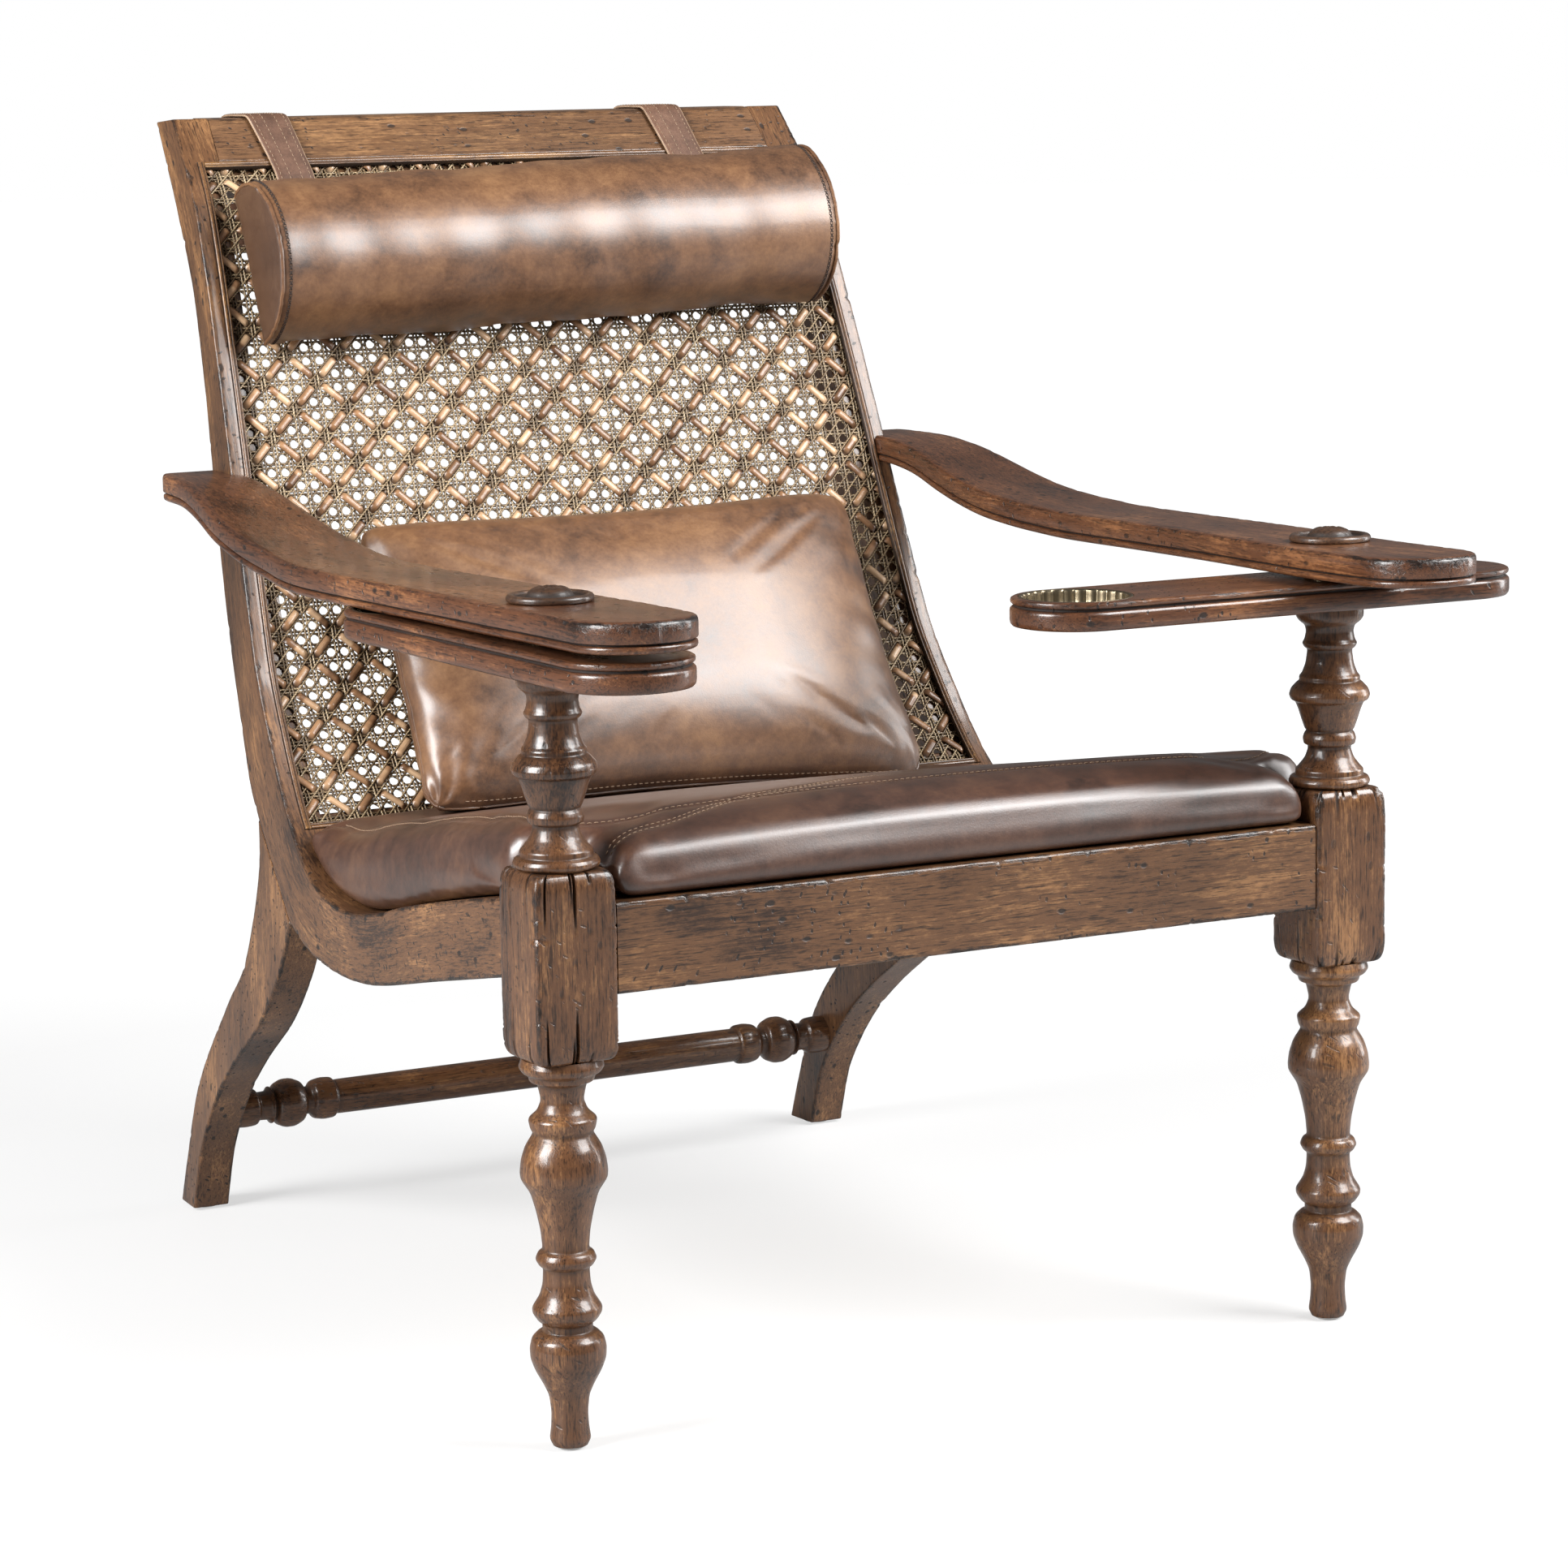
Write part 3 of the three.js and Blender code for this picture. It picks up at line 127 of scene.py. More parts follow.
# Moulded edges from the top down: how far in from the outline and how far down, in mm
ARM_EDGE = [
    (6, 0), (2.8, 0.3), (1.1, 1.2), (0.25, 2.7), (0, 4.6), (0, 14.8), (0.3, 15.5), (1.9, 15.9), (3.1, 16.4),
    (3.1, 17.1), (1.7, 17.5), (0.8, 18.1), (0.35, 19.2), (0.35, 20.8), (1, 22.2), (2.4, 23), (5, 23.2)]
PADDLE_EDGE = [
    (6, 0), (2.4, 0.25), (0.9, 1.1), (0.5, 2.4), (0.7, 4), (1.7, 5), (3.1, 5.5), (3.1, 7), (1.4, 7.8),
    (0.3, 9), (0, 10.6), (0, 18), (0.5, 20.4), (2, 22.2), (5, 22.8)]
CAP_PROFILE = [
    (0.93, 0), (0.985, 0.06), (1, 0.25), (0.995, 0.5), (0.95, 0.72), (0.88, 0.76), (0.83, 0.66), (0.79, 0.42),
    (0.7, 0.36), (0.6, 0.42), (0.54, 0.56), (0.5, 0.9), (0.44, 1.16), (0.34, 1.34), (0.25, 1.42), (0.2, 1.34),
    (0.12, 1.42), (0.05, 1.5)]


# Curves

def unit(way):
    """Ways made one long."""
    return way / np.maximum(np.linalg.norm(way, axis=-1, keepdims=True), 1e-9)


def xyz(*parts):
    """Points from their coordinates, each of them spread over the shape of the others."""
    return np.stack(np.broadcast_arrays(*parts), -1)


def turns(count):
    """Equal turns round a circle."""
    return np.linspace(0, 2 * np.pi, count, endpoint=False)


def spline(knots, count):
    """Points on the curve through all knots: each span is a cubic, and its end slopes are half the step between
    neighbours."""
    knots = np.asarray(knots, float)
    at = np.linspace(0, len(knots) - 1, count)
    base = np.minimum(at.astype(int), len(knots) - 2)
    share = (at - base)[:, None]
    p0, p1 = knots[np.maximum(base - 1, 0)], knots[base]
    p2, p3 = knots[base + 1], knots[np.minimum(base + 2, len(knots) - 1)]
    v0, v1 = (p2 - p0) / 2, (p3 - p1) / 2
    cubed, squared = 2 * p1 - 2 * p2 + v0 + v1, 3 * p2 - 3 * p1 - 2 * v0 - v1
    return cubed * share ** 3 + squared * share ** 2 + v0 * share + p1


def run_length(path):
    """Distance gone along a path at each of its points."""
    return np.concatenate([[0], np.cumsum(np.linalg.norm(np.diff(path, axis=0), axis=1))])


def spaced(path, where, values=None):
    """Points of a path, or the values that its points have, at given distances along it."""
    length = run_length(path)
    return np.stack([np.interp(where, length, column) for column in (path if values is None else values).T], -1)


def even(path, step):
    """A path cut again into equal steps of about that length."""
    total = run_length(path)[-1]
    return spaced(path, np.linspace(0, total, max(int(round(total / step)), 1) + 1))


def slopes(path):
    """Unit direction of travel at each point of a path, from its neighbours."""
    return unit(np.gradient(path, axis=0))


def eased(points, times=2, keep=0.2):
    """A polyline with its corners cut: each step keeps its middle and gives up a share at both ends, and this is done
    several times over."""
    for _ in range(times):
        near = points[:-1] * (1 - keep) + points[1:] * keep
        far = points[:-1] * keep + points[1:] * (1 - keep)
        middle = np.stack([near, far], 1).reshape(-1, points.shape[1])
        points = np.concatenate([points[:1], middle, points[-1:]])
    return points


def drift(at, seed, wave, sines=5):
    """Slow unevenness between about -1 and 1: some sines of shrinking wave and strength, each with its own seeded
    phase."""
    phases = np.random.default_rng(seed).uniform(0, 2 * np.pi, sines)
    total = sum(np.sin(2 * np.pi * np.asarray(at) * 1.93 ** k / wave + phase) / 1.4 ** k
                for k, phase in enumerate(phases))
    return total / 2.3


def worn(at, seed, plain, wear):
    """Radius of a worn arris along its length: a plain radius, slow waves of wear and now and then a deeper chip."""
    chips = np.clip(drift(at, seed + 50, 61) * drift(at, seed + 90, 23) - 0.16, 0, 1)
    return plain + wear * (0.5 + 0.5 * drift(at, seed, 90)) + 5 * wear * chips


def side_points(shares):
    """Shares of the chair's reach and height, in mm."""
    return np.array(shares, float) * (REACH, CREST)


SEAT = spline(side_points(SEAT_LINE), 1601)
SEAT_SLOPE = slopes(SEAT)
LOW = int(np.argmin(SEAT[:, 1]))
BACK = SEAT[LOW:]
BACK_RUN = run_length(BACK)


def face_at(reach, height):
    """How far out the frame's face stands: it leans in by a fixed share of the reach and of the height."""
    return LEG_AXIS + BLOCK_HALF - 5.9 - 0.0617 * (reach - BLOCK_HALF) - 0.0299 * (height - RAIL_TOP)


def seat_height(reach):
    """Height of the seat line at a reach."""
    return np.interp(reach, SEAT[:LOW + 400, 0], SEAT[:LOW + 400, 1])


def back_at(height, behind=0.0):
    """Points of the back line at given heights, moved square to it."""
    run = np.interp(height, BACK[:, 1], BACK_RUN)
    return back_along(run, behind)


def back_along(run, behind=0.0):
    """Points of the back line a given way along it, moved square to it."""
    slope = SEAT_SLOPE[LOW:]
    y, z = (np.interp(run, BACK_RUN, BACK[:, k]) for k in (0, 1))
    sy, sz = (np.interp(run, BACK_RUN, slope[:, k]) for k in (0, 1))
    return np.stack(np.broadcast_arrays(y + sz * behind, z - sy * behind), -1)


# Meshes

def rounded(corners, radii):
    """Closed sections with round corners: every corner becomes a quadratic arc, with one more point a little way into
    each side of it. Gives the points and, for each, 1 on an arc and 0 beside it."""
    sides = [np.roll(corners, way, 1) - corners for way in (1, -1)]
    sides = [(unit(side), np.linalg.norm(side, axis=-1, keepdims=True)) for side in sides]
    radii = np.broadcast_to(np.asarray(radii, float), corners.shape[:2])[..., None]
    start, end = (corners + way * np.minimum(radii, 0.48 * long) for way, long in sides)
    first, last = (corners + way * np.minimum(radii + MARGIN, 0.495 * long) for way, long in sides)
    arc = [(1 - t) ** 2 * start + 2 * t * (1 - t) * corners + t * t * end for t in np.linspace(0, 1, ARC_STEPS + 1)]
    loop = np.stack([first, *arc, last], 2)
    on_arc = np.zeros(loop.shape[:3])
    on_arc[:, :, 1:-1] = 1
    count = loop.shape[1] * loop.shape[2]
    return loop.reshape(len(corners), count, -1), on_arc.reshape(len(corners), count)


def softened(rings, depth=1.6):
    """Rings of a bar with its two ends rounded: the last ring steps back, then draws in as it comes to full length."""
    def finished(last, before):
        out, inward = unit(last - before), unit(last.mean(0) - last)
        return [last - depth * out, last - 0.3 * depth * out + 0.3 * depth * inward, last + depth * inward]
    return np.stack([*finished(rings[0], rings[1])[::-1], *rings[1:-1], *finished(rings[-1], rings[-2])])


def ends_like(values):
    """A table with one row per ring, lengthened as softened lengthens its rings."""
    return np.concatenate([np.repeat(values[:1], 3, 0), values[1:-1], np.repeat(values[-1:], 3, 0)])


def skin(rings, capped=True):
    """Points and faces of a tube over rings of equal count, with a fan over each end."""
    rows, count = rings.shape[:2]
    step = np.arange(count)
    first = np.arange(rows - 1)[:, None] * count
    after = (step + 1) % count
    quads = np.stack([first + step, first + after, first + count + after, first + count + step], -1)
    points = rings.reshape(-1, rings.shape[-1])
    faces = quads.reshape(-1, 4).tolist()
    if capped:
        total = len(points)
        points = np.concatenate([points, rings[[0, -1]].mean(1)])
        last = (rows - 1) * count
        faces += np.stack([np.full(count, total), after, step], -1).tolist()
        faces += np.stack([np.full(count, total + 1), last + step, last + after], -1).tolist()
    return points, faces


def caps_like(values):
    """A table of one value per ring point, flattened as skin flattens its points, ends included."""
    return np.concatenate([values.reshape(-1, *values.shape[2:]), values[[0, -1]].mean(1)])


def volume(points, faces):
    """Signed volume inside faces: the sum of a sixth of the triple product of each fan triangle."""
    total = 0.0
    for size in (3, 4):
        some = np.array([face for face in faces if len(face) == size])
        for k in range(1, size - 1):
            if len(some):
                a, b, c = points[some[:, 0]], points[some[:, k]], points[some[:, k + 1]]
                total += np.einsum("ij,ij->", a, np.cross(b, c)) / 6
    return total


def outwards(points, faces):
    """The faces of a closed form, all turned over if it is inside out."""
    return [face[::-1] for face in faces] if volume(points - points.mean(0), faces) < 0 else faces


def mesh_of(name, points, faces, traits=None):
    """A mesh at its place from points in mm, with each trait as one number or three at every point."""
    mesh = bpy.data.meshes.new(name)
    mesh.from_pydata(((points + HOME) / 1000).tolist(), [], faces)
    for trait, values in (traits or {}).items():
        vector = values.ndim == 2
        held = mesh.attributes.new(trait, "FLOAT_VECTOR" if vector else "FLOAT", "POINT")
        held.data.foreach_set("vector" if vector else "value", values.astype(np.float32).ravel())
    return mesh


def linked(name, data):
    """An object of a mesh, lamp or camera, put in the scene."""
    obj = bpy.data.objects.new(name, data)
    bpy.context.scene.collection.objects.link(obj)
    return obj


def told(obj, body, stands_for=()):
    """Tells the frame a piece's body, and the solids that it stands for."""
    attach(obj, body)
    if stands_for:
        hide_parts(*stands_for)
    return obj


def make(name, points, faces, finish, body, stands_for=(), sharp=38, traits=None, merge=True):
    """Puts points in mm and faces into a mesh at its place, faces outwards, with its finish and its body."""
    mesh = mesh_of(name, points, outwards(points, faces), traits)
    if merge:
        bare = bmesh.new()
        bare.from_mesh(mesh)
        bmesh.ops.remove_doubles(bare, verts=bare.verts, dist=2e-6)
        bmesh.ops.dissolve_degenerate(bare, dist=1e-7, edges=bare.edges)
        bare.to_mesh(mesh)
        bare.free()
    mesh.shade_smooth()
    mesh.set_sharp_from_angle(angle=math.radians(sharp))
    mesh.materials.append(finish)
    return told(linked(name, mesh), body, stands_for)


# Shader maths

class Value:
    """A number socket that takes part in sums: each operator adds one Math node."""

    def __init__(self, nodes, socket):
        self.nodes = nodes
        self.socket = socket

    def maths(self, operation, *others, clamp=False):
        node = self.nodes.add("ShaderNodeMath", {"operation": operation, "use_clamp": clamp}, {
            k: other for k, other in enumerate((self, *others))})
        return Value(self.nodes, node.outputs[0])

    def __add__(self, other):
        return self.maths("ADD", other)

    def __mul__(self, other):
        return self.maths("MULTIPLY", other)

    def __sub__(self, other):
        return self.maths("SUBTRACT", other)

    def __rsub__(self, other):
        return (self * -1) + other

    def most(self, other):
        return self.maths("MAXIMUM", other)

    def held(self):
        return self.maths("ADD", 0.0, clamp=True)

    def between(self, low, high):
        """0 below low, 1 above high and straight between."""
        return ((self - low) * (1 / (high - low))).held()


class Nodes:
    """The node tree of one finish, or of the world."""

    def __init__(self, name, kind="materials"):
        self.finish = getattr(bpy.data, kind).new(name)
        self.finish.use_nodes = True
        self.tree = self.finish.node_tree
        self.tree.nodes.clear()

    def add(self, kind, settings=None, inputs=None):
        """A node of a type, with its settings first and then the values or links of its inputs."""
        node = self.tree.nodes.new(kind)
        for name, value in (settings or {}).items():
            if name == "stops":
                while len(node.color_ramp.elements) < len(value):
                    node.color_ramp.elements.new(0.5)
                for stop, (position, colour) in zip(node.color_ramp.elements, value):
                    stop.position = position
                    stop.color = (*colour, 1)
            else:
                setattr(node, name, value)
        for name, value in (inputs or {}).items():
            if isinstance(value, Value):
                self.tree.links.new(value.socket, node.inputs[name])
            elif isinstance(value, bpy.types.NodeSocket):
                self.tree.links.new(value, node.inputs[name])
            elif isinstance(value, (tuple, list)) and len(value) == 3 and node.inputs[name].type == "RGBA":
                node.inputs[name].default_value = (*value, 1)
            else:
                node.inputs[name].default_value = value
        return node

    def value(self, socket):
        return Value(self, socket)

    def place(self):
        return self.add("ShaderNodeTexCoord").outputs["Object"]

    def trait(self, name, vector=False):
        node = self.add("ShaderNodeAttribute", {"attribute_name": name})
        return node.outputs["Vector"] if vector else self.value(node.outputs["Fac"])

    def stretched(self, vector, scale):
        return self.add("ShaderNodeVectorMath", {"operation": "MULTIPLY"}, {0: vector, 1: scale}).outputs[0]

    def moved(self, vector, other):
        return self.add("ShaderNodeVectorMath", {"operation": "ADD"}, {0: vector, 1: other}).outputs[0]

    def noise(self, vector, scale=1.0, detail=3.0, rough=0.55, bent=0.0):
        node = self.add("ShaderNodeTexNoise", None, {
            "Vector": vector, "Scale": scale, "Detail": detail, "Roughness": rough, "Distortion": bent})
        return self.value(node.outputs["Fac"])

    def cells(self, vector, scale=1.0):
        node = self.add("ShaderNodeTexVoronoi", None, {"Vector": vector, "Scale": scale})
        return self.value(node.outputs["Distance"])

    def mix(self, share, first, second):
        node = self.add("ShaderNodeMix", {"data_type": "RGBA", "clamp_factor": True}, {0: share, 6: first, 7: second})
        return node.outputs[2]

    def ramp(self, value, stops):
        return self.add("ShaderNodeValToRGB", {"stops": stops}, {"Fac": value}).outputs["Color"]

    def bump(self, height, strength, distance):
        inputs = {"Height": height, "Strength": strength, "Distance": distance}
        return self.add("ShaderNodeBump", None, inputs).outputs["Normal"]

    def joined(self, *parts):
        """A vector from numbers, by their places 0, 1 and 2."""
        return self.add("ShaderNodeCombineXYZ", None, dict(parts)).outputs[0]

    def rotated(self, vector, angles):
        return self.add("ShaderNodeVectorRotate", {"rotation_type": "EULER_XYZ"}, {
            "Vector": vector, "Rotation": angles}).outputs[0]

    def close(self, **inputs):
        """One glossy surface shader, its inputs named with underlines for spaces."""
        named = {name.replace("_", " "): value for name, value in inputs.items()}
        surface = self.add("ShaderNodeBsdfPrincipled", None, named)
        self.add("ShaderNodeOutputMaterial", None, {"Surface": surface.outputs[0]})
        return self.finish


def plain(red, green, blue):
    """A colour as the eye names it, from 0 to 255, made linear."""
    shares = np.array([red, green, blue]) / 255
    return tuple(np.where(shares <= 0.04045, shares / 12.92, ((shares + 0.055) / 1.055) ** 2.4).tolist())


def wood(name, dark, middle, light, burnt, gloss=0.36, dents=1.0, place=None):
    """Stained wood under satin lacquer: streaks and figure drawn out along the grain, flecks, blotches of stain, pores,
    pits and slanting nicks, burnt arrises where the edge trait is high, and dull dark colour where the cavity trait is
    high: real gouges and glaze in the hollows, and painted shade in grooves and quirks."""
    n = Nodes(name)
    grain = n.trait("grain", vector=True) if place is None else place(n)
    bend = n.noise(n.stretched(grain, (3, 9, 9)), 1.0, 2.0)
    warped = n.moved(grain, n.joined((1, bend * 0.012), (2, bend * 0.009)))
    streaks = n.noise(n.stretched(warped, (16, 460, 460)), 1.0, 5.0, 0.7)
    flecks = n.noise(n.stretched(grain, (150, 380, 380)), 1.0, 4.0, 0.7)
    figure = n.noise(n.stretched(warped, (2.2, 30, 30)), 1.0, 3.0, 0.5, 0.6)
    blotch = n.noise(n.stretched(grain, (7, 16, 16)), 1.0, 4.0, 0.6)
    pores = n.noise(n.stretched(warped, (60, 900, 900)), 1.0, 2.0, 0.5)
    tone = streaks * 0.85 + flecks * 0.55 + figure * 0.4 + blotch * 1.1 - 0.95
    colour = n.ramp(tone, [(0.24, dark), (0.46, middle), (0.56, middle), (0.78, light)])
    stain = n.noise(n.stretched(grain, (3.2, 8, 8)), 1.0, 5.0, 0.65).between(0.52, 0.72)
    colour = n.mix(stain * 0.45, colour, burnt)
    colour = n.mix(pores.between(0.56, 0.66) * 0.7, colour, burnt)
    rough_edge = n.noise(n.stretched(grain, (120, 240, 240)), 1.0, 2.0) * 0.12
    turned = n.rotated(n.moved(grain, n.joined((0, bend * 0.03), (1, bend * 0.05))), (0.4, 0.5, 0.9))
    pits = (1 - (n.cells(n.stretched(grain, (40, 70, 70)), 1.0) + rough_edge).between(0.17, 0.24)) * dents
    nicks = (1 - (n.cells(n.stretched(turned, (30, 210, 120)), 1.0) + rough_edge).between(0.2, 0.27)) * dents
    pits, nicks = (kind * n.noise(grain, size, 1.0).between(0.46, 0.5) for kind, size in ((pits, 14.0), (nicks, 11.0)))
    marks = pits.most(nicks)
    colour = n.mix(marks * 0.85, colour, burnt)
    ragged = n.noise(n.stretched(grain, (45, 110, 110)), 1.0, 5.0, 0.72)
    rubbed = (n.trait("edge") + ragged * 2.4 - 1.98).between(0.0, 0.45)
    cavity = n.trait("cavity")
    # Dark in the cavity trait: gouges and glaze, and painted shade in grooves and quirks.
    colour = n.mix((rubbed * 0.92).most(cavity * 0.88), colour, burnt)
    shine = n.noise(n.stretched(grain, (12, 30, 30)), 1.0, 3.0)
    rough = (shine * 0.22 + (gloss - 0.11) + streaks * 0.1 + marks * 0.2 + cavity * 0.35).held()
    relief = streaks * 0.5 + pores * 0.25 - marks * 1.6 - rubbed * ragged * 1.8
    return n.close(Base_Color=colour, Roughness=rough, Normal=n.bump(relief, 0.55, 0.0007),
                   Coat_Weight=(1 - cavity).held() * 0.4, Coat_Roughness=0.12, IOR=1.45)


def hide(name, dark, middle, light, gloss, coarse=1.0, bump=1.0, coat=0.9):
    """Waxed leather: mottled in three sizes, darker in the shade trait, with a fine pebble and faint creases."""
    n = Nodes(name)
    place = n.place()
    clouds = n.noise(place, 9 * coarse, 5.0, 0.6, 0.4)
    mottle = n.noise(place, 46 * coarse, 6.0, 0.68, 0.3)
    specks = n.noise(place, 310 * coarse, 3.0, 0.6)
    tone = clouds * 0.48 + mottle * 0.4 + specks * 0.16
    colour = n.ramp(tone, [(0.38, dark), (0.52, middle), (0.68, light)])
    shade = n.trait("shade")
    colour = n.mix(shade * 0.75, colour, dark)
    pebble = n.cells(place, 620 * coarse)
    fine = n.cells(place, 1150 * coarse)
    creases = n.noise(n.stretched(place, (70, 45, 70)), 1.0, 4.0, 0.6, 0.5)
    relief = pebble * 0.4 + fine * 0.3 + creases * 0.5
    rough = (mottle * 0.22 + (gloss - 0.1) + specks * 0.06 + shade * 0.1).held()
    return n.close(Base_Color=colour, Roughness=rough, Normal=n.bump(relief, 0.2 * bump, 0.0006),
                   Coat_Weight=coat, Coat_Roughness=0.35, IOR=1.5)


def thread(name, colour):
    """Waxed thread, its colour broken up by its twist."""
    n = Nodes(name)
    twist = n.noise(n.place(), 1400.0, 2.0)
    return n.close(Base_Color=n.mix(twist * 0.5, colour, tuple(0.5 * c for c in colour)), Roughness=0.7)


def metal(name, colour, rough):
    """Satin metal: a little colour and gloss unevenness over a fine brushed relief."""
    n = Nodes(name)
    place = n.place()
    haze = n.noise(place, 60.0, 4.0)
    brushed = n.noise(n.stretched(place, (300, 300, 2500)), 1.0, 2.0)
    tint = n.mix(haze.between(0.35, 0.7) * 0.5, colour, tuple(0.45 * c for c in colour))
    return n.close(Base_Color=tint, Metallic=1.0, Roughness=(haze * 0.2 + (rough - 0.1)).held(),
                   Normal=n.bump(brushed, 0.15, 0.0002))


def strand(name, dark, middle, light, gloss, twist, half, side_shade):
    """Split cane: a tone for each strand, long fibres along it, painted shade along its sides (half is half its width
    in mm) and where the dip trait is high, where it passes under others, and for the fine strands the slanting lines of
    a twist."""
    n = Nodes(name)
    along = n.trait("along", vector=True)
    tone = n.trait("tone")
    fibres = n.noise(n.stretched(along, (25, 1500, 1)), 1.0, 3.0)
    patches = n.noise(n.stretched(along, (60, 90, 1)), 1.0, 3.0)
    colour = n.ramp(tone * 0.55 + patches * 0.45 + fibres * 0.2 - 0.1, [(0.2, dark), (0.5, middle), (0.85, light)])
    parts = n.add("ShaderNodeSeparateXYZ", None, {"Vector": along})
    lay = (n.value(parts.outputs[0]) * 2300 + n.value(parts.outputs[1]) * 1900).maths("SINE")
    colour = n.mix((lay.between(0.1, 1.0) * twist).held(), colour, tuple(0.3 * c for c in dark))
    # Painted shade: both sides of each strand go dark, as do the places where it passes under others (dip).
    sides = (n.value(parts.outputs[1]).maths("ABSOLUTE") * (1000.0 / half)).between(0.45, 1.0)
    dip = n.trait("dip")
    colour = n.mix((dip * 0.85).most(sides * side_shade).held(), colour, tuple(0.18 * c for c in dark))
    return n.close(Base_Color=colour, Roughness=(fibres * 0.25 + (gloss - 0.08)).held(),
                   Normal=n.bump(fibres - lay * twist * 0.6, 0.5, 0.0004), Coat_Weight=0.2)


def pad_clear():
    """A clear foot pad: pale, faintly cloudy and half seen through."""
    n = Nodes("clear_pad")
    cloud = n.noise(n.place(), 90.0, 3.0)
    tint = n.mix(cloud, (0.75, 0.74, 0.7), (0.86, 0.86, 0.84))
    return n.close(Base_Color=tint, Roughness=(cloud * 0.2 + 0.25).held(), Alpha=0.75, IOR=1.45)


WALNUT = wood("walnut", plain(52, 33, 21), plain(99, 67, 42), plain(146, 105, 67), plain(18, 11, 8))
# Painted light: the crest's walnut is a lighter copy of the walnut, standing for the sheen the crest takes from the
# lamps overhead.
LIT_CREST_WOOD = wood("lit_crest_walnut", plain(62, 41, 27), plain(110, 78, 52), plain(154, 114, 76), plain(24, 15, 11))
TURNED = wood("turned_walnut", plain(44, 28, 19), plain(91, 60, 38), plain(140, 100, 64), plain(15, 9, 7), 0.24, 0.6)
ARM_WOOD = wood("arm_walnut", plain(44, 26, 17), plain(86, 53, 34), plain(132, 88, 56), plain(17, 10, 7), 0.26)
EBONED = wood("eboned_walnut", plain(42, 28, 20), plain(72, 49, 34), plain(112, 80, 56), plain(12, 8, 6), 0.36, 0.5)
GILT_BEAD = wood("bead_walnut", plain(58, 37, 22), plain(108, 74, 44), plain(160, 118, 70), plain(20, 12, 9), 0.3, 0.2)
HIDE = hide("cushion_leather", plain(60, 38, 24), plain(106, 72, 46), plain(138, 100, 66), 0.4)
# Painted shade: the seat pad's leather is a darker copy of the cushion leather, standing for the dimmer light low on
# the seat.
SHADED_SEAT_HIDE = hide("shaded_seat_leather", plain(44, 28, 21), plain(74, 48, 36), plain(98, 67, 48), 0.34)
STRAP_HIDE = hide("strap_leather", plain(72, 49, 37), plain(98, 69, 53), plain(126, 94, 74), 0.5, 1.4, 1.6, 0.3)
CUT_EDGE = hide("cut_leather_edge", plain(120, 94, 74), plain(150, 124, 100), plain(180, 154, 130), 0.7, 2.0, 1.0, 0.0)
PALE_THREAD = thread("pale_thread", plain(150, 124, 100))
BROWN_THREAD = thread("brown_thread", plain(44, 30, 22))
BRASS = metal("pale_brass", plain(142, 130, 108), 0.36)
STEEL = metal("turned_steel", plain(150, 150, 147), 0.35)
FINE_CANE = strand("fine_cane", plain(96, 75, 50), plain(160, 134, 100), plain(210, 186, 148), 0.42, 0.8, 1.0, 0.85)
WIDE_CANE = strand("wide_cane", plain(98, 68, 45), plain(158, 118, 84), plain(216, 182, 144), 0.28, 0.0, 3.5, 0.5)


def wooden(points, long_axis, seed, edge=None, cavity=None):
    """Traits of a wooden piece: its own place in the grain, long axis first, where it is burnt, and where it is dark in
    its hollows: gouges and glaze, and painted shade.
    """
    order = [long_axis] + [k for k in range(3) if k != long_axis]
    grain = points[:, order] / 1000 + np.random.default_rng(seed).uniform(-3, 3, 3)
    none = np.zeros(len(points))
    return {"grain": grain, "edge": none if edge is None else edge, "cavity": none if cavity is None else cavity}


# Side frames and back legs

def on_face(side, line, depth):
    """A line of reach and height laid in a side board, some way in from its outer face."""
    return xyz(side * (face_at(line[:, 0], line[:, 1]) - depth), line[:, 0], line[:, 1])


def board_corners(side, front, rear):
    """Four corners of each section of a side board: front outer, front inner, rear inner and rear outer."""
    return (on_face(side, front, 0.0), on_face(side, front, BOARD), on_face(side, rear, BOARD),
            on_face(side, rear, 0.0))


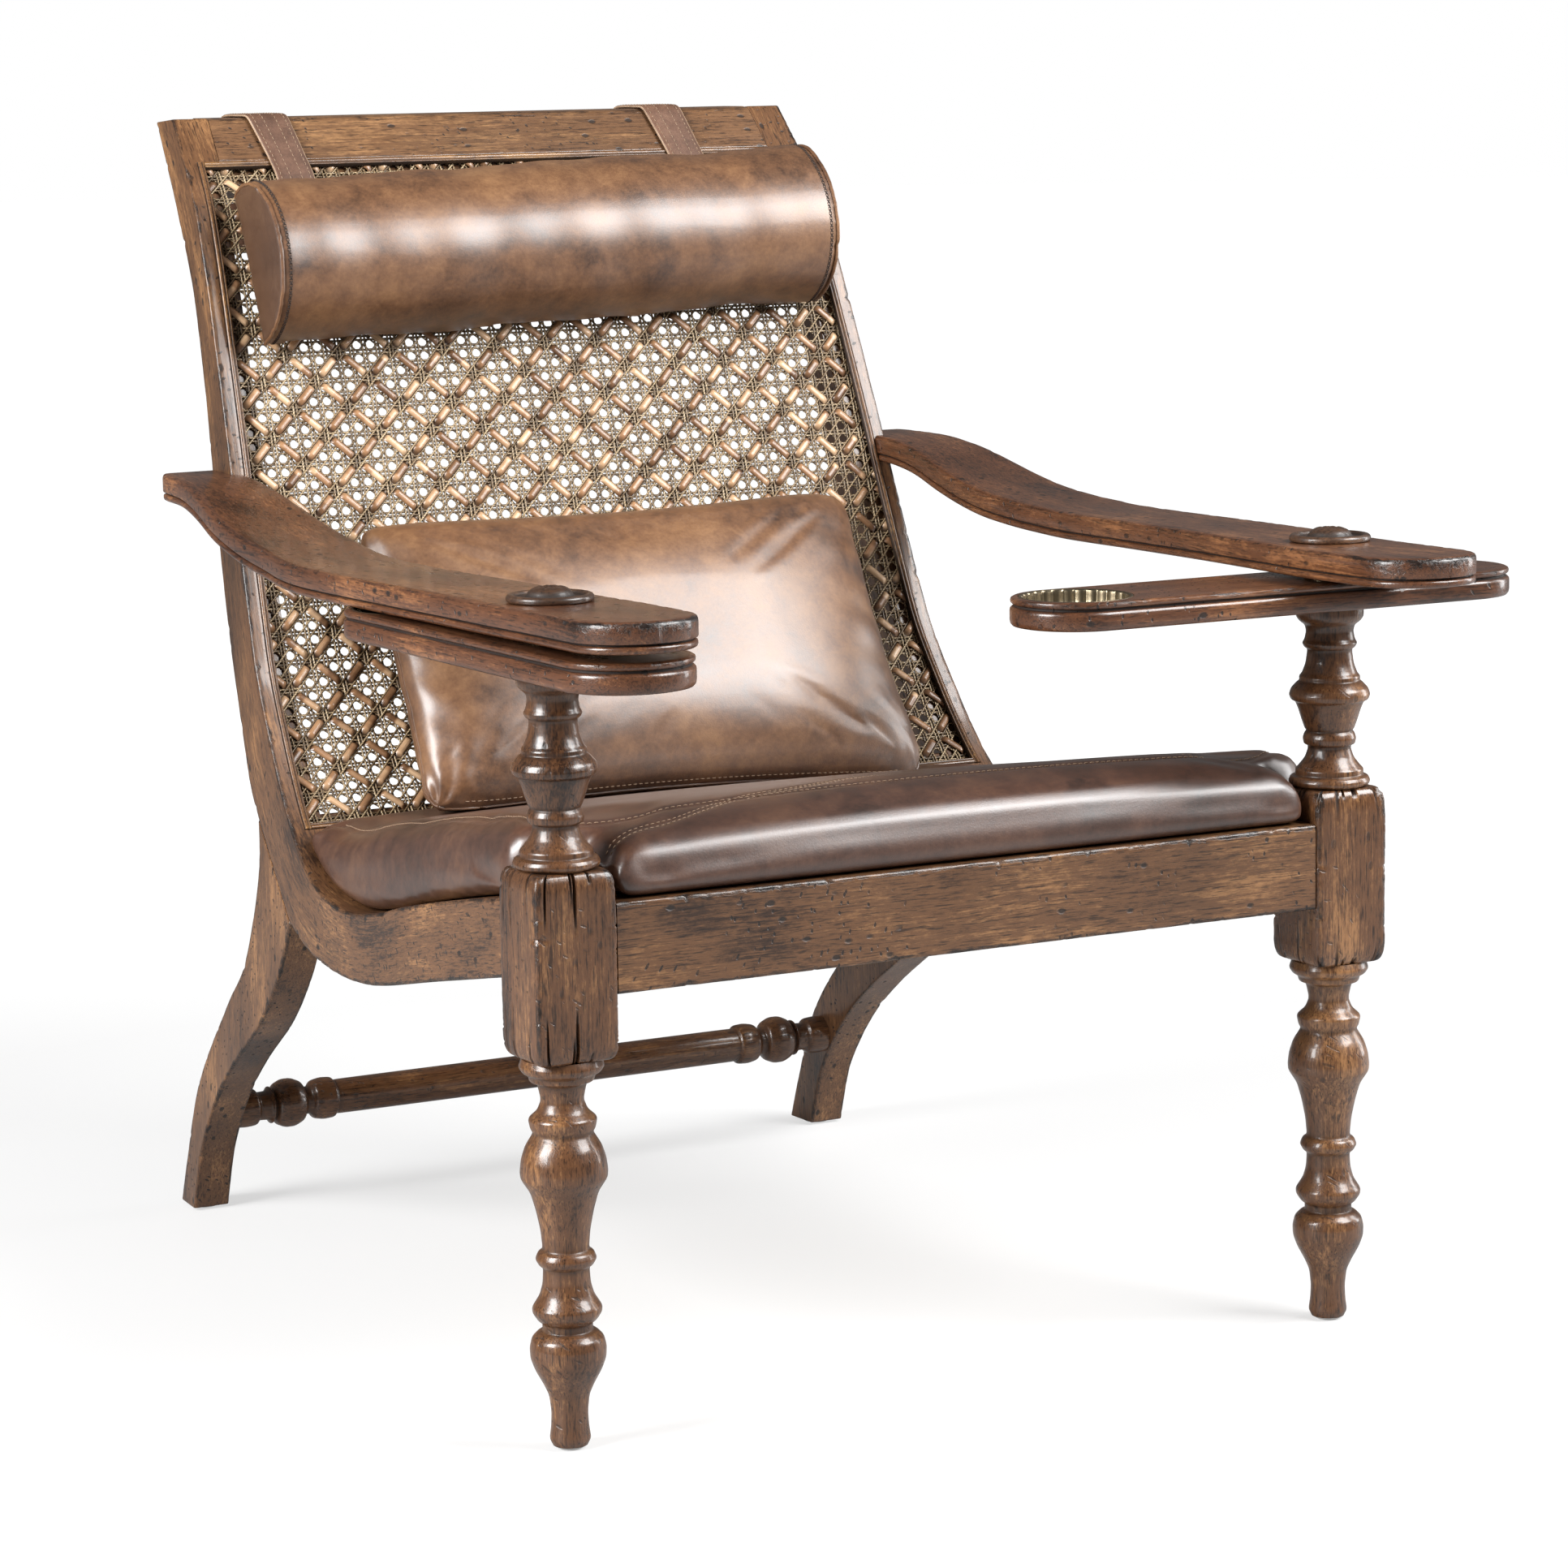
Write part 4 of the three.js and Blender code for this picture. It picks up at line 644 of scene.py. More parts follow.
def side_frame(hand, side):
    """The seat line carried along the underside and the rear line, section by section, with the cane's rebate as a
    step in each section between the cane's foot and its top."""
    start = np.array([[BLOCK_HALF + GAP, RAIL_TOP]])
    front_line = np.concatenate([start, SEAT[SEAT[:, 0] > BLOCK_HALF + GAP + 1]])
    under = spline(side_points(UNDERSIDE), 200)
    scarf = np.linspace(under[-1], side_points(REAR_LINE)[0], 20)[1:-1]
    rear_line = np.concatenate([under, scarf, spline(side_points(REAR_LINE), 300), [[REACH, 0.9969 * CREST]]])
    front_run, rear_run = run_length(front_line), run_length(rear_line)

    def run_near(line, run, reach, height):
        return run[np.argmin(np.hypot(line[:, 0] - reach, line[:, 1] - height))]
    pairs = [((33.8, 415.8), (33.8, 356)), ((397, 346), (413, 290)), ((519, 381), (537, 311)),
             ((578, 445), (621, 388)), ((722, 763), (765, 745)), ((853, 978), (903, 975))]
    front_keys = [run_near(front_line, front_run, *pair[0]) for pair in pairs]
    rear_keys = [run_near(rear_line, rear_run, *pair[1]) for pair in pairs]
    at = np.linspace(0, front_run[-1], 340)
    cut_runs = [run_near(front_line, front_run, *back_at(height)) for height in (CANE_FOOT, CANE_TOP)]
    at = np.sort(np.concatenate([at, np.array(cut_runs) - 0.2, np.array(cut_runs) + 0.2]))
    front = spaced(front_line, at)
    rear = spaced(rear_line, np.interp(at, front_keys, rear_keys))
    slope = slopes(front)
    stepped = ((at > cut_runs[0]) & (at < cut_runs[1]))[:, None]
    floor = front + np.where(stepped, 9.0, 0.02) * np.stack([slope[:, 1], -slope[:, 0]], -1)
    face, _, back_inner, back_outer = board_corners(side, front, rear)
    corners = np.stack([face, on_face(side, front, 12.0), on_face(side, floor, 12.05), on_face(side, floor, BOARD),
                        back_inner, back_outer], 1)
    radii = np.stack([worn(at, 11 + side, 1.6, 1.3), np.where(stepped[:, 0], 0.8, 0.01), np.full(len(at), 0.01),
                      np.where(stepped[:, 0], 0.4, 1.4), np.full(len(at), 1.6), worn(at, 15 + side, 1.8, 1.4)], 1)
    rings, arc = rounded(corners, radii)
    arc = arc * np.repeat([1, 0.3, 0, 0.4, 0.6, 1], arc.shape[1] // 6)
    rings, arc = softened(rings), ends_like(arc)
    points, faces = skin(rings)
    along = caps_like(np.broadcast_to(ends_like(at[:, None])[:, :, None], (*rings.shape[:2], 1)))
    middle = caps_like(ends_like(np.repeat(((front + rear) / 2)[:, None, :], rings.shape[1], 1)))
    across = np.hypot(points[:, 1] - middle[:, 0], points[:, 2] - middle[:, 1])
    across = across * np.sign(points[:, 1] - middle[:, 0] - (points[:, 2] - middle[:, 1]))
    traits = wooden(points, 0, 21 + side, caps_like(arc))
    traits["grain"] = np.stack([along[:, 0], across, points[:, 0]], -1) / 1000 + (3.1 * side, 0.4, 0)
    make(f"{hand}_frame_board", points, faces, WALNUT, "chair", (f"{hand}_side_frame",), traits=traits)


def back_leg(hand, side):
    """The sabre leg: its front and rear curves paired by share, a rounded section at each pair."""
    share = np.linspace(0, 1, 110)
    scarf = side_points(REAR_LINE)[0] - side_points(LEG_FRONT)[0]
    apart = np.array([scarf[1], -scarf[0]]) / np.linalg.norm(scarf) * GAP
    front_line, rear_line = (spline(side_points(line), 400) for line in (LEG_FRONT, LEG_REAR))
    front = spaced(front_line, share * run_length(front_line)[-1]) + apart
    rear_share = np.interp(share, [0, 0.25, 0.5, 1], [0, 0.33, 0.56, 1])
    rear = spaced(rear_line, rear_share * run_length(rear_line)[-1]) + apart
    front[-1, 1] = rear[-1, 1] = FOOT_SEAT
    at = share * 420
    corners = np.stack(board_corners(side, front, rear), 1)
    radii = np.stack([worn(at, seed + side, *radius) for seed, radius in (
        (31, (1.8, 1.5)), (33, (1.4, 0.9)), (35, (1.4, 0.9)), (37, (1.6, 1.2)))], 1)
    rings, arc = rounded(corners, radii)
    points, faces = skin(softened(rings, 1.2))
    traits = wooden(points, 2, 41 + side, caps_like(ends_like(arc)))
    make(f"{hand}_sabre_leg", points, faces, WALNUT, "chair", (f"{hand}_back_leg",), traits=traits)


# Turned work

def hollows(radius, run, reach=7.0):
    """How deep each point of a profile lies in a groove: the mean radius nearby, less its own, as a share of 3 mm."""
    steps = np.arange(0, run[-1], 0.5)
    even_radius = np.interp(steps, run, radius)
    size = int(reach / 0.5) * 2 + 1
    padded = np.pad(even_radius, size // 2, mode="edge")
    mean = np.convolve(padded, np.ones(size) / size, "valid")
    return np.clip(np.interp(run, steps, mean[:len(steps)] - even_radius) / 3.0, 0, 1)


def turned_rings(profile, angles, centre=(0, 0)):
    """A profile of radius and height carried round an upright axis."""
    radius, height = profile[:, 0][:, None], profile[:, 1][:, None]
    x = centre[0] + radius * np.cos(angles)
    y = centre[1] + radius * np.sin(angles)
    return xyz(x, y, height)


def front_leg(hand, side):
    """Turned foot and baluster, a square block whose corners wander, and the turned arm post, as one stack of
    sections: a section is the circle at power 2 and the block at a high power of the same rounded square."""
    lower = np.array([(r * TURNING, FOOT_SEAT + h * (BLOCK_FOOT - FOOT_SEAT)) for r, h in LEG_TURNING])
    upper = np.array([(r * TURNING, BLOCK_TOP + h * (POST_TOP - BLOCK_TOP)) for r, h in POST_TURNING])
    block = np.array([(0.8, -0.001), (0.87, 0.002), (0.94, 0.022), (0.985, 0.06), (1, 0.12), (1, 0.5), (1, 0.88),
                      (0.99, 0.93), (0.955, 0.97), (0.9, 0.992), (0.86, 1.0), (0.8, 1.001)])
    block = np.stack([block[:, 0] * BLOCK_HALF, BLOCK_FOOT + block[:, 1] * BLOCK_TALL], -1)
    lower, upper = eased(lower, 2, 0.16), eased(upper, 2, 0.16)
    corner_share = np.linspace(-1, 1, 49)[:-1]
    quarter = np.pi / 4 * (1 + np.sign(corner_share) * np.abs(corner_share) ** 1.35)
    angles = np.concatenate([quarter + k * np.pi / 2 for k in range(4)])
    block = even(eased(block, 2), 1.6)
    wide = block[:, :1]
    height = block[:, 1:]
    cosine, sine = np.abs(np.cos(angles)), np.abs(np.sin(angles))
    from_end = np.minimum(height - BLOCK_FOOT, BLOCK_TOP - height)
    end_near = np.clip(1 - from_end / 26, 0, 1)
    chipped = np.stack([worn(height[:, 0], 61 + 7 * k + side, 0.5, 0.5) for k in range(4)], 1).repeat(48, 1)
    beside = np.where(cosine > sine, sine / np.maximum(cosine, 0.1), 2 - cosine / np.maximum(sine, 0.1))
    beside = beside * BLOCK_HALF + np.floor(angles / (np.pi / 2)) * 150
    reach = 6 + 36 * np.clip(0.35 + 0.9 * drift(beside, 75 + side, 12), 0, 1)
    rough = drift(beside, 71 + side, 23, 4) + 0.7 * drift(beside, 72 + side, 6, 2)
    notches = np.clip((rough - 0.5) * 1.9, 0, 0.8)
    gouges = notches * np.clip(1.1 - from_end / reach[None, :], 0, 1)
    power = 16 / chipped ** 0.5
    square = (cosine ** power + sine ** power) ** (-1 / power)
    corner = np.clip((square - 1.2) / 0.15, 0, 1)
    radius = wide * square - gouges * 6.5 - corner * chipped * 0.5
    radius = np.maximum(radius, 10)
    block_rings = xyz(radius * np.cos(angles), radius * np.sin(angles), height)
    below, above = (turned_rings(np.array([[SHOULDER * 0.9, end]]), angles)
                    for end in (BLOCK_FOOT - 0.02, BLOCK_TOP + 0.02))
    rings = np.concatenate([turned_rings(lower, angles), below, block_rings, above, turned_rings(upper, angles)])
    # The grooves of the turnings are darkened through the cavity trait: partly glaze, partly painted shade.
    low_hollow, post_hollow = (hollows(profile[:, 0], run_length(profile)) for profile in (lower, upper))
    groove = np.concatenate([low_hollow, [1], np.zeros(len(block)), [1], post_hollow])
    cavity = np.repeat(groove[:, None], len(angles), 1)
    rows = slice(len(lower) + 1, len(lower) + 1 + len(block))
    cavity[rows] = np.clip(gouges * 6, 0, 1.1)
    edge = np.zeros(cavity.shape)
    edge[rows] = np.clip(corner * 0.9 + end_near * 0.45, 0, 1)
    bulge = np.concatenate([lower[:, 0], [0], np.zeros(len(block)), [0], upper[:, 0]])
    edge += 0.25 * (bulge > 0.93 * TURNING)[:, None]
    points, faces = skin(rings)
    points = points + (side * LEG_AXIS, 0, 0)
    traits = wooden(points, 2, 81 + side, caps_like(edge), caps_like(cavity))
    make(f"{hand}_turned_leg", points, faces, TURNED, "chair", (f"{hand}_front_leg",), 50, traits)


def stretcher():
    """Half a profile and its mirror, carried round a level axis between the back legs."""
    front, rear = (spline(side_points(line), 400) for line in (LEG_FRONT, LEG_REAR))
    height = STRETCHER_HEIGHT
    reach = np.mean([line[np.argmin(abs(line[:, 1] - height)), 0] for line in (front, rear)])
    half_length = face_at(reach, height) - BOARD + 1.0
    half = np.array([(r * STRETCHER_RADIUS, h * half_length) for r, h in STRETCHER_TURNING])
    half = eased(half, 2, 0.16)
    profile = np.concatenate([half[:0:-1] * (1, -1), half])
    angles = turns(56)
    rings = turned_rings(profile, angles)
    rings = np.stack([rings[..., 2], reach + rings[..., 0], height + rings[..., 1]], -1)
    # The grooves are darkened as on the legs: partly glaze, partly painted shade.
    groove = np.repeat(hollows(profile[:, 0], run_length(profile), 5)[:, None], len(angles), 1)
    points, faces = skin(rings)
    traits = wooden(points, 0, 95, None, caps_like(groove))
    make("turned_stretcher", points, faces, TURNED, "chair", ("stretcher",), 50, traits)


def pivot_parts(hand, side):
    """The dished cap on the arm and the washer between arm and leg rest, both turned about the pivot."""
    arm_line = spline(np.array(ARM_RISE) * (ARM_REAR, ARM_TOP), 400)
    seat = np.interp(0, arm_line[:, 0], arm_line[:, 1]) + GAP
    angles = turns(72)
    profile = eased(np.array(CAP_PROFILE) * (CAP_RADIUS, CAP_HEIGHT), 2, 0.2)
    tooled = np.where(profile[:, 0] < 0.42 * CAP_RADIUS, 0.25, 0)[:, None] * np.cos(9 * angles)[None, :]
    rings = turned_rings(profile, angles)
    rings[..., 2] += seat + tooled
    points, faces = skin(rings)
    points = points + (side * LEG_AXIS, 0, 0)
    # The cap's dish and ring are darkened: partly glaze, partly painted shade.
    hollow = np.interp(profile[:, 0] / CAP_RADIUS, [0.45, 0.54, 0.6, 0.78, 0.83], [0, 0.9, 0.6, 0.8, 0])
    hollow = caps_like(np.repeat(hollow[:, None], 72, 1))
    make(f"{hand}_cap_turning", points, faces, EBONED, "chair", (f"{hand}_pivot_cap",), 50,
         wooden(points, 0, 101 + side, None, hollow))
    low, high = PADDLE_TOP + GAP, ARM_TOP - ARM_THICK - 3 * GAP
    profile = np.array([(7.4, low), (20.2, low), (20.9, low + 0.5), (20.9, high - 0.5), (20.2, high), (7.4, high),
                        (7.4, low)])
    rings = turned_rings(profile, angles)
    points, faces = skin(rings, capped=False)
    points = points + (side * LEG_AXIS, 0, 0)
    make(f"{hand}_washer_ring", points, faces, BRASS, "chair", (f"{hand}_pivot_washer",), 30)


# Moulded boards: arms and leg rests

def moulded(left, right, edge_steps, top_at, across=12):
    """A board between two long chains that meet at its tips: a section at each pair of chain points goes over the top,
    down the right edge, back under and up the left edge. The edges are the chains drawn in by each step of the
    moulding."""
    steps = np.array(edge_steps)
    edges = []
    for chain, sign in ((left, 1), (right, -1)):
        slope = slopes(chain)
        normal = sign * np.stack([-slope[:, 1], slope[:, 0]], -1)
        plan = chain[:, None, :] - normal[:, None, :] * steps[None, :, :1]
        height = top_at(chain[:, 1])[:, None] - steps[None, :, 1]
        edges.append(np.concatenate([plan, height[..., None]], -1))
    left_edge, right_edge = edges
    share = np.linspace(0, 1, across + 1)[1:-1][None, :, None]
    over = left_edge[:, :1] * (1 - share) + right_edge[:, :1] * share
    under = right_edge[:, -1:] * (1 - share) + left_edge[:, -1:] * share
    rings = np.concatenate([over, right_edge, under, left_edge[:, ::-1]], 1)
    burn = np.interp(steps[:, 1], [0, 0.2, 1.5, 4.6, 5.5], [0.1, 0.7, 0.85, 0.45, 0])
    # The moulding's grooves are darkened through the cavity trait: partly glaze, partly painted shade.
    groove = np.interp(steps[:, 0], [1.6, 3.0], [0, 1]) * ((steps[:, 1] > 3) & (steps[:, 1] < 20))
    zeros = np.zeros(across - 1)
    edge = np.concatenate([zeros, burn, zeros, burn[::-1]])
    cavity = np.concatenate([zeros, groove, zeros, groove[::-1]])
    rows = len(rings)
    return rings, np.repeat(edge[None], rows, 0), np.repeat(cavity[None], rows, 0)


def outlines_of(outer, inner, nose):
    """Left and right chains of a board with a round nose, each cut at equal shares of its own length."""
    count = 150
    left = np.concatenate([spline(inner, 200), nose[:len(nose) // 2 + 1]])
    right = np.concatenate([spline(outer, 200), nose[::-1][:len(nose) // 2 + 1]])
    warp = 1 - (1 - np.linspace(0, 1, count)) ** 1.25
    return [spaced(chain, warp * run_length(chain)[-1]) for chain in (left, right)]


def armrest(hand, side):
    """The arm: a board whose plan swells and narrows, whose top rises to the back, with a moulded edge."""
    def chain(shares):
        return np.array([(x * ARM_OUT, y * (ARM_NOSE if y < 0 else ARM_REAR)) for x, y in shares])
    inner, outer = chain(ARM_INNER), chain(ARM_OUTER)
    centre, half = (inner[-1, 0] + outer[-1, 0]) / 2, (outer[-1, 0] - inner[-1, 0]) / 2
    length = ARM_NOSE + inner[-1, 1]
    turn = np.linspace(0, np.pi, 61)
    nose = np.stack([centre - half * np.cos(turn), inner[-1, 1] - length * np.sin(turn) ** 0.92], -1)
    left, right = outlines_of(outer, inner, nose[1:-1])
    rise = spline(np.array(ARM_RISE) * (ARM_REAR, ARM_TOP), 600)

    def top_at(reach):
        return np.interp(reach, rise[:, 0], rise[:, 1])
    rings, edge, cavity = moulded(right, left, ARM_EDGE, top_at)
    # The sides toward the nose are made darker too, through the edge trait, though they are no arris.
    edge = edge + 0.5 * np.clip((-70 - rings[..., 1]) / 60, 0, 1) * (rings[..., 2] < top_at(rings[..., 1]) - 1)
    wear = np.clip(drift(rings[..., 1] + 40 * rings[..., 0], 111 + side, 37) - 0.2, 0, 1)
    rings[..., 2] -= wear * edge * 1.4 * (rings[..., 2] > top_at(rings[..., 1]) - 5)
    points, faces = skin(rings)
    points = points * (side, 1, 1)
    traits = wooden(points, 1, 121 + side, caps_like(edge), caps_like(cavity))
    make(f"{hand}_arm_board", points, faces, ARM_WOOD, "chair", (f"{hand}_armrest",), 42, traits)


def cut_out(obj, points, faces):
    """Takes a closed cutter away from a piece and bakes the cut into its mesh."""
    mesh = mesh_of("cutter", points, outwards(points, faces))
    cutter = linked("cutter", mesh)
    step = obj.modifiers.new("recess", "BOOLEAN")
    step.object = cutter
    step.operation = "DIFFERENCE"
    step.solver = "EXACT"
    bake(obj)
    bpy.data.objects.remove(cutter)
    bpy.data.meshes.remove(mesh)


def bake(obj):
    """Replaces a piece's mesh by the one its modifiers give and takes the modifiers off."""
    graph = bpy.context.evaluated_depsgraph_get()
    graph.update()
    made = bpy.data.meshes.new_from_object(obj.evaluated_get(graph), preserve_all_data_layers=True, depsgraph=graph)
    obj.modifiers.clear()
    old = obj.data
    obj.data = made
    bpy.data.meshes.remove(old)


def leg_rest(hand, side):
    """A long board with two round ends, turned to its place about the pivot, and the fluted brass liner of its cup
    recess: the liner's wall is the radius drawn in by a cosine of thirty flutes."""
    body = f"leg_rest_{hand}"
    turn = math.radians(2.5 if side < 0 else 89.5)
    spin = np.array([[math.cos(turn), -math.sin(turn), 0], [math.sin(turn), math.cos(turn), 0], [0, 0, 1]])
    place = np.array([side * LEG_AXIS, 0, 0])
    tail, nose = PADDLE_TAIL - PADDLE_HALF, PADDLE_HALF - PADDLE_NOSE
    angle = np.linspace(0, np.pi / 2, 50)
    cap = np.stack([PADDLE_HALF * np.sin(angle), PADDLE_HALF * np.cos(angle)], -1)
    straight = np.linspace(tail, nose, 70)[1:-1]
    right = np.concatenate([cap + (0, tail), xyz(PADDLE_HALF, straight), cap[::-1] * (1, -1) + (0, nose)])
    left = right * (-1, 1)

    def top_at(reach):
        return np.full(len(reach), PADDLE_TOP)
    rings, edge, cavity = moulded(right, left, PADDLE_EDGE, top_at, 8)
    points, faces = skin(rings, capped=False)
    traits = wooden(points, 1, 131 + side, edge.ravel(), cavity.ravel())
    board = make(f"{hand}_leg_rest_board", points @ spin.T + place, faces, ARM_WOOD, body,
                 (f"{hand}_leg_rest",), 42, traits)
    hole = np.array([(CUP_RADIUS, PADDLE_TOP - CUP_DEPTH), (CUP_RADIUS, PADDLE_TOP + 5)])
    cutter, cutter_faces = skin(turned_rings(hole, turns(180), (0, tail)))
    cut_out(board, cutter @ spin.T + place, cutter_faces)
    outer = CUP_RADIUS - GAP
    foot = PADDLE_TOP - CUP_DEPTH + GAP
    profile = np.array([
        (outer - 1, foot), (outer, foot + 0.6), (outer, PADDLE_TOP - 0.4), (outer - 0.4, PADDLE_TOP + 0.2),
        (outer - 1.4, PADDLE_TOP + 0.25), (outer - 2, PADDLE_TOP - 0.5), (outer - 2.3, PADDLE_TOP - 2.2),
        (outer - 2.6, foot + 5), (outer - 4.2, foot + 2.4), (outer - 7.5, foot + 1.5), (outer * 0.5, foot + 1.4),
        (3, foot + 1.4)])
    profile = eased(profile, 1, 0.2)
    angles = turns(360)
    rings = turned_rings(profile, angles)
    wall = (profile[:, 0] < outer - 1.9) & (profile[:, 0] > outer - 8)
    draw = 1 - (wall[:, None] * 1.3 * np.abs(np.cos(15 * angles))[None, :]) / np.maximum(profile[:, :1], 1)
    rings[..., :2] *= draw[..., None]
    rings[..., 1] += tail
    points, faces = skin(rings)
    make(f"{hand}_cup_liner", points @ spin.T + place, faces, BRASS, body, (f"{hand}_cup_ring",), 50)


# Rails, crest and beads

def bar_across(name, outline, finish, node, seed, radii, step, edge_flags=None):
    """An outline of reach and height carried across the chair, its ends parallel to the side frames."""
    count = int(2 * 350 / step)
    share = np.linspace(-1, 1, count)
    half = face_at(outline[:, 0], outline[:, 1]) - BOARD - GAP
    corners = xyz(share[:, None] * half, outline[:, 0], outline[:, 1])
    rounds = np.stack([worn(share * 350, seed + 3 * k, *radius) if radius[1] else np.full(count, radius[0])
                       for k, radius in enumerate(radii)], 1)
    rings, arc = rounded(corners, rounds)
    flags = np.ones(len(outline)) if edge_flags is None else np.array(edge_flags, float)
    arc = arc * np.repeat(flags, arc.shape[1] // len(outline))
    points, faces = skin(rings)
    make(name, points, faces, finish, "chair", (node,), 42, wooden(points, 0, seed, caps_like(arc)))


def rails():
    """The front rail with its chipped arris, the rear rail under the cane and the crest over it."""
    foot, rear = RAIL_TOP - RAIL_TALL, RAIL_FRONT + RAIL_THICK
    half = LEG_AXIS - BLOCK_HALF - GAP
    count = 260
    across = np.linspace(-half, half, count)
    outline = np.array([(RAIL_FRONT, RAIL_TOP), (RAIL_FRONT, foot), (rear, foot), (rear, RAIL_TOP)])
    square = np.full(count, 1.5)
    rounds = np.stack([worn(across, 141, 1.9, 1.7), worn(across, 142, 1.6, 1.0), square, square], 1)
    rings, arc = rounded(xyz(across[:, None], outline[:, 0], outline[:, 1]), rounds)
    points, faces = skin(rings)
    make("front_rail_board", points, faces, WALNUT, "chair", ("front_seat_rail",), 42,
         wooden(points, 0, 143, caps_like(arc)))
    low, high = CANE_FOOT - 15, CANE_FOOT + 15
    rear = np.concatenate([
        back_at(np.linspace(low, CANE_FOOT - GAP, 3), GAP), back_at(np.linspace(CANE_FOOT - GAP, high, 3), 9.0),
        back_at(np.linspace(high, low, 3), 30.0)])
    bar_across("rear_rail_board", rear, WALNUT, "rear_seat_rail", 151, [(0.9, 0)] * 9, 8.0)
    lip = CANE_TOP + GAP
    top = side_points([(0.9524, 1), (0.9945, 1), (1, 0.9969)])
    rear_line = spline(side_points(REAR_LINE), 400)
    shape = np.concatenate([
        back_at(np.array([lip - 15, lip]), 9.0), back_at(np.linspace(lip, CREST * 0.9985, 4), GAP), top,
        [[np.interp(h * CREST, rear_line[:, 1], rear_line[:, 0]) - 0.3, h * CREST] for h in (0.992, 0.9612)],
        back_at(np.array([lip - 15.0]), 34.0)])
    radii = [(0.4, 0), (0.4, 0), (1.0, 0.5), (3, 0), (3, 0), (2.2, 1.3), (4, 0), (3, 1.2), (3, 0), (3, 0), (3, 0),
             (2, 0)]
    flags = [0, 0, 0.6, 0, 0, 0.8, 0.3, 0.8, 0.3, 0, 0, 0.6]
    # The crest takes the lighter walnut copy, a painted sheen.
    bar_across("crest_board", shape, LIT_CREST_WOOD, "crest_rail", 161, radii, 4.0, flags)


def bead(name, node, base, out, across, long_axis, seed):
    """A bead beside its line: a round reed on its inner part, a quirk and a low flat on the rest, dark in the quirk and
    along both edges where it meets its neighbours: partly glaze, partly painted shade."""
    width, proud, sink = 6.0, 1.6, 3.4
    share = np.linspace(0, 1, 13)
    reed = np.where(share < 0.62, np.sin(np.pi * np.clip(share / 0.62, 0, 1)) ** 0.6,
                    0.55 * np.sin(np.pi * np.clip((share - 0.66) / 0.34, 0, 1)) ** 0.5)
    rise = np.concatenate([proud * (0.15 + 0.85 * reed), [-sink, -sink]])
    place = np.concatenate([share, [1, 0]])
    rings = (base[:, None, :] + across[:, None, :] * (place * width)[None, :, None]
             + out[:, None, :] * rise[None, :, None])
    points, faces = skin(rings)
    dark = np.interp(place, [0, 0.06, 0.5, 0.62, 0.66, 0.72, 0.95, 1], [1, 0.1, 0, 0.7, 1, 0.3, 0.3, 1])
    cavity = caps_like(np.repeat(dark[None], len(base), 0))
    make(name, points, faces, GILT_BEAD, "chair", (node,), 50, wooden(points, long_axis, seed, None, cavity))


def cane_beads():
    """Four beads round the cane: two along the stiles and two across, over the cane's edge."""
    for hand, side in SIDES:
        line = back_at(np.linspace(CANE_FOOT + GAP, CANE_TOP - GAP, 160))
        slope = slopes(line)
        out = xyz(0.0, -slope[:, 1], slope[:, 0])
        across = np.repeat([[-side, 0.0, 0.0]], len(line), 0)
        bead(f"{hand}_side_bead", f"{hand}_cane_bead", on_face(side, line, 12.3), out, across, 2, 171 + side)
    for name, node, height, upward in (("top_bead", "top_cane_bead", CANE_TOP - GAP, -1),
                                       ("bottom_bead", "bottom_cane_bead", CANE_FOOT + GAP, 1)):
        point = back_at(np.array([height]))[0]
        slope = slopes(back_at(np.array([height - 2, height, height + 2])))[1]
        base = xyz(np.linspace(-1, 1, 160) * (face_at(point[0], height) - 18.3), *point)
        out = np.repeat([[0, -slope[1], slope[0]]], 160, 0)
        across = np.repeat([[0, upward * slope[0], upward * slope[1]]], 160, 0)
        bead(name, node, base, out, across, 0, 181 + upward)


# Woven cane

PITCH, PAIR_HALF, CANE_DEPTH = 12.5, 1.55, 6.6
CANE_RUNS = np.interp([CANE_FOOT + GAP + 1.5, CANE_TOP - GAP - 1.5], BACK[:, 1], BACK_RUN)
CANE_MIDDLE = CANE_RUNS.mean()


def cane_half(run):
    """Half the width of the weave at a way along the back line."""
    line = back_along(run)
    return face_at(line[..., 0], line[..., 1]) - 13.5


def on_panel(u, v, lift):
    """A spot of the flat weave laid on the curved back: v runs along the back line, lift comes forward from it."""
    spot = back_along(v + CANE_MIDDLE, CANE_DEPTH - lift)
    return xyz(u, spot[..., 0], spot[..., 1])


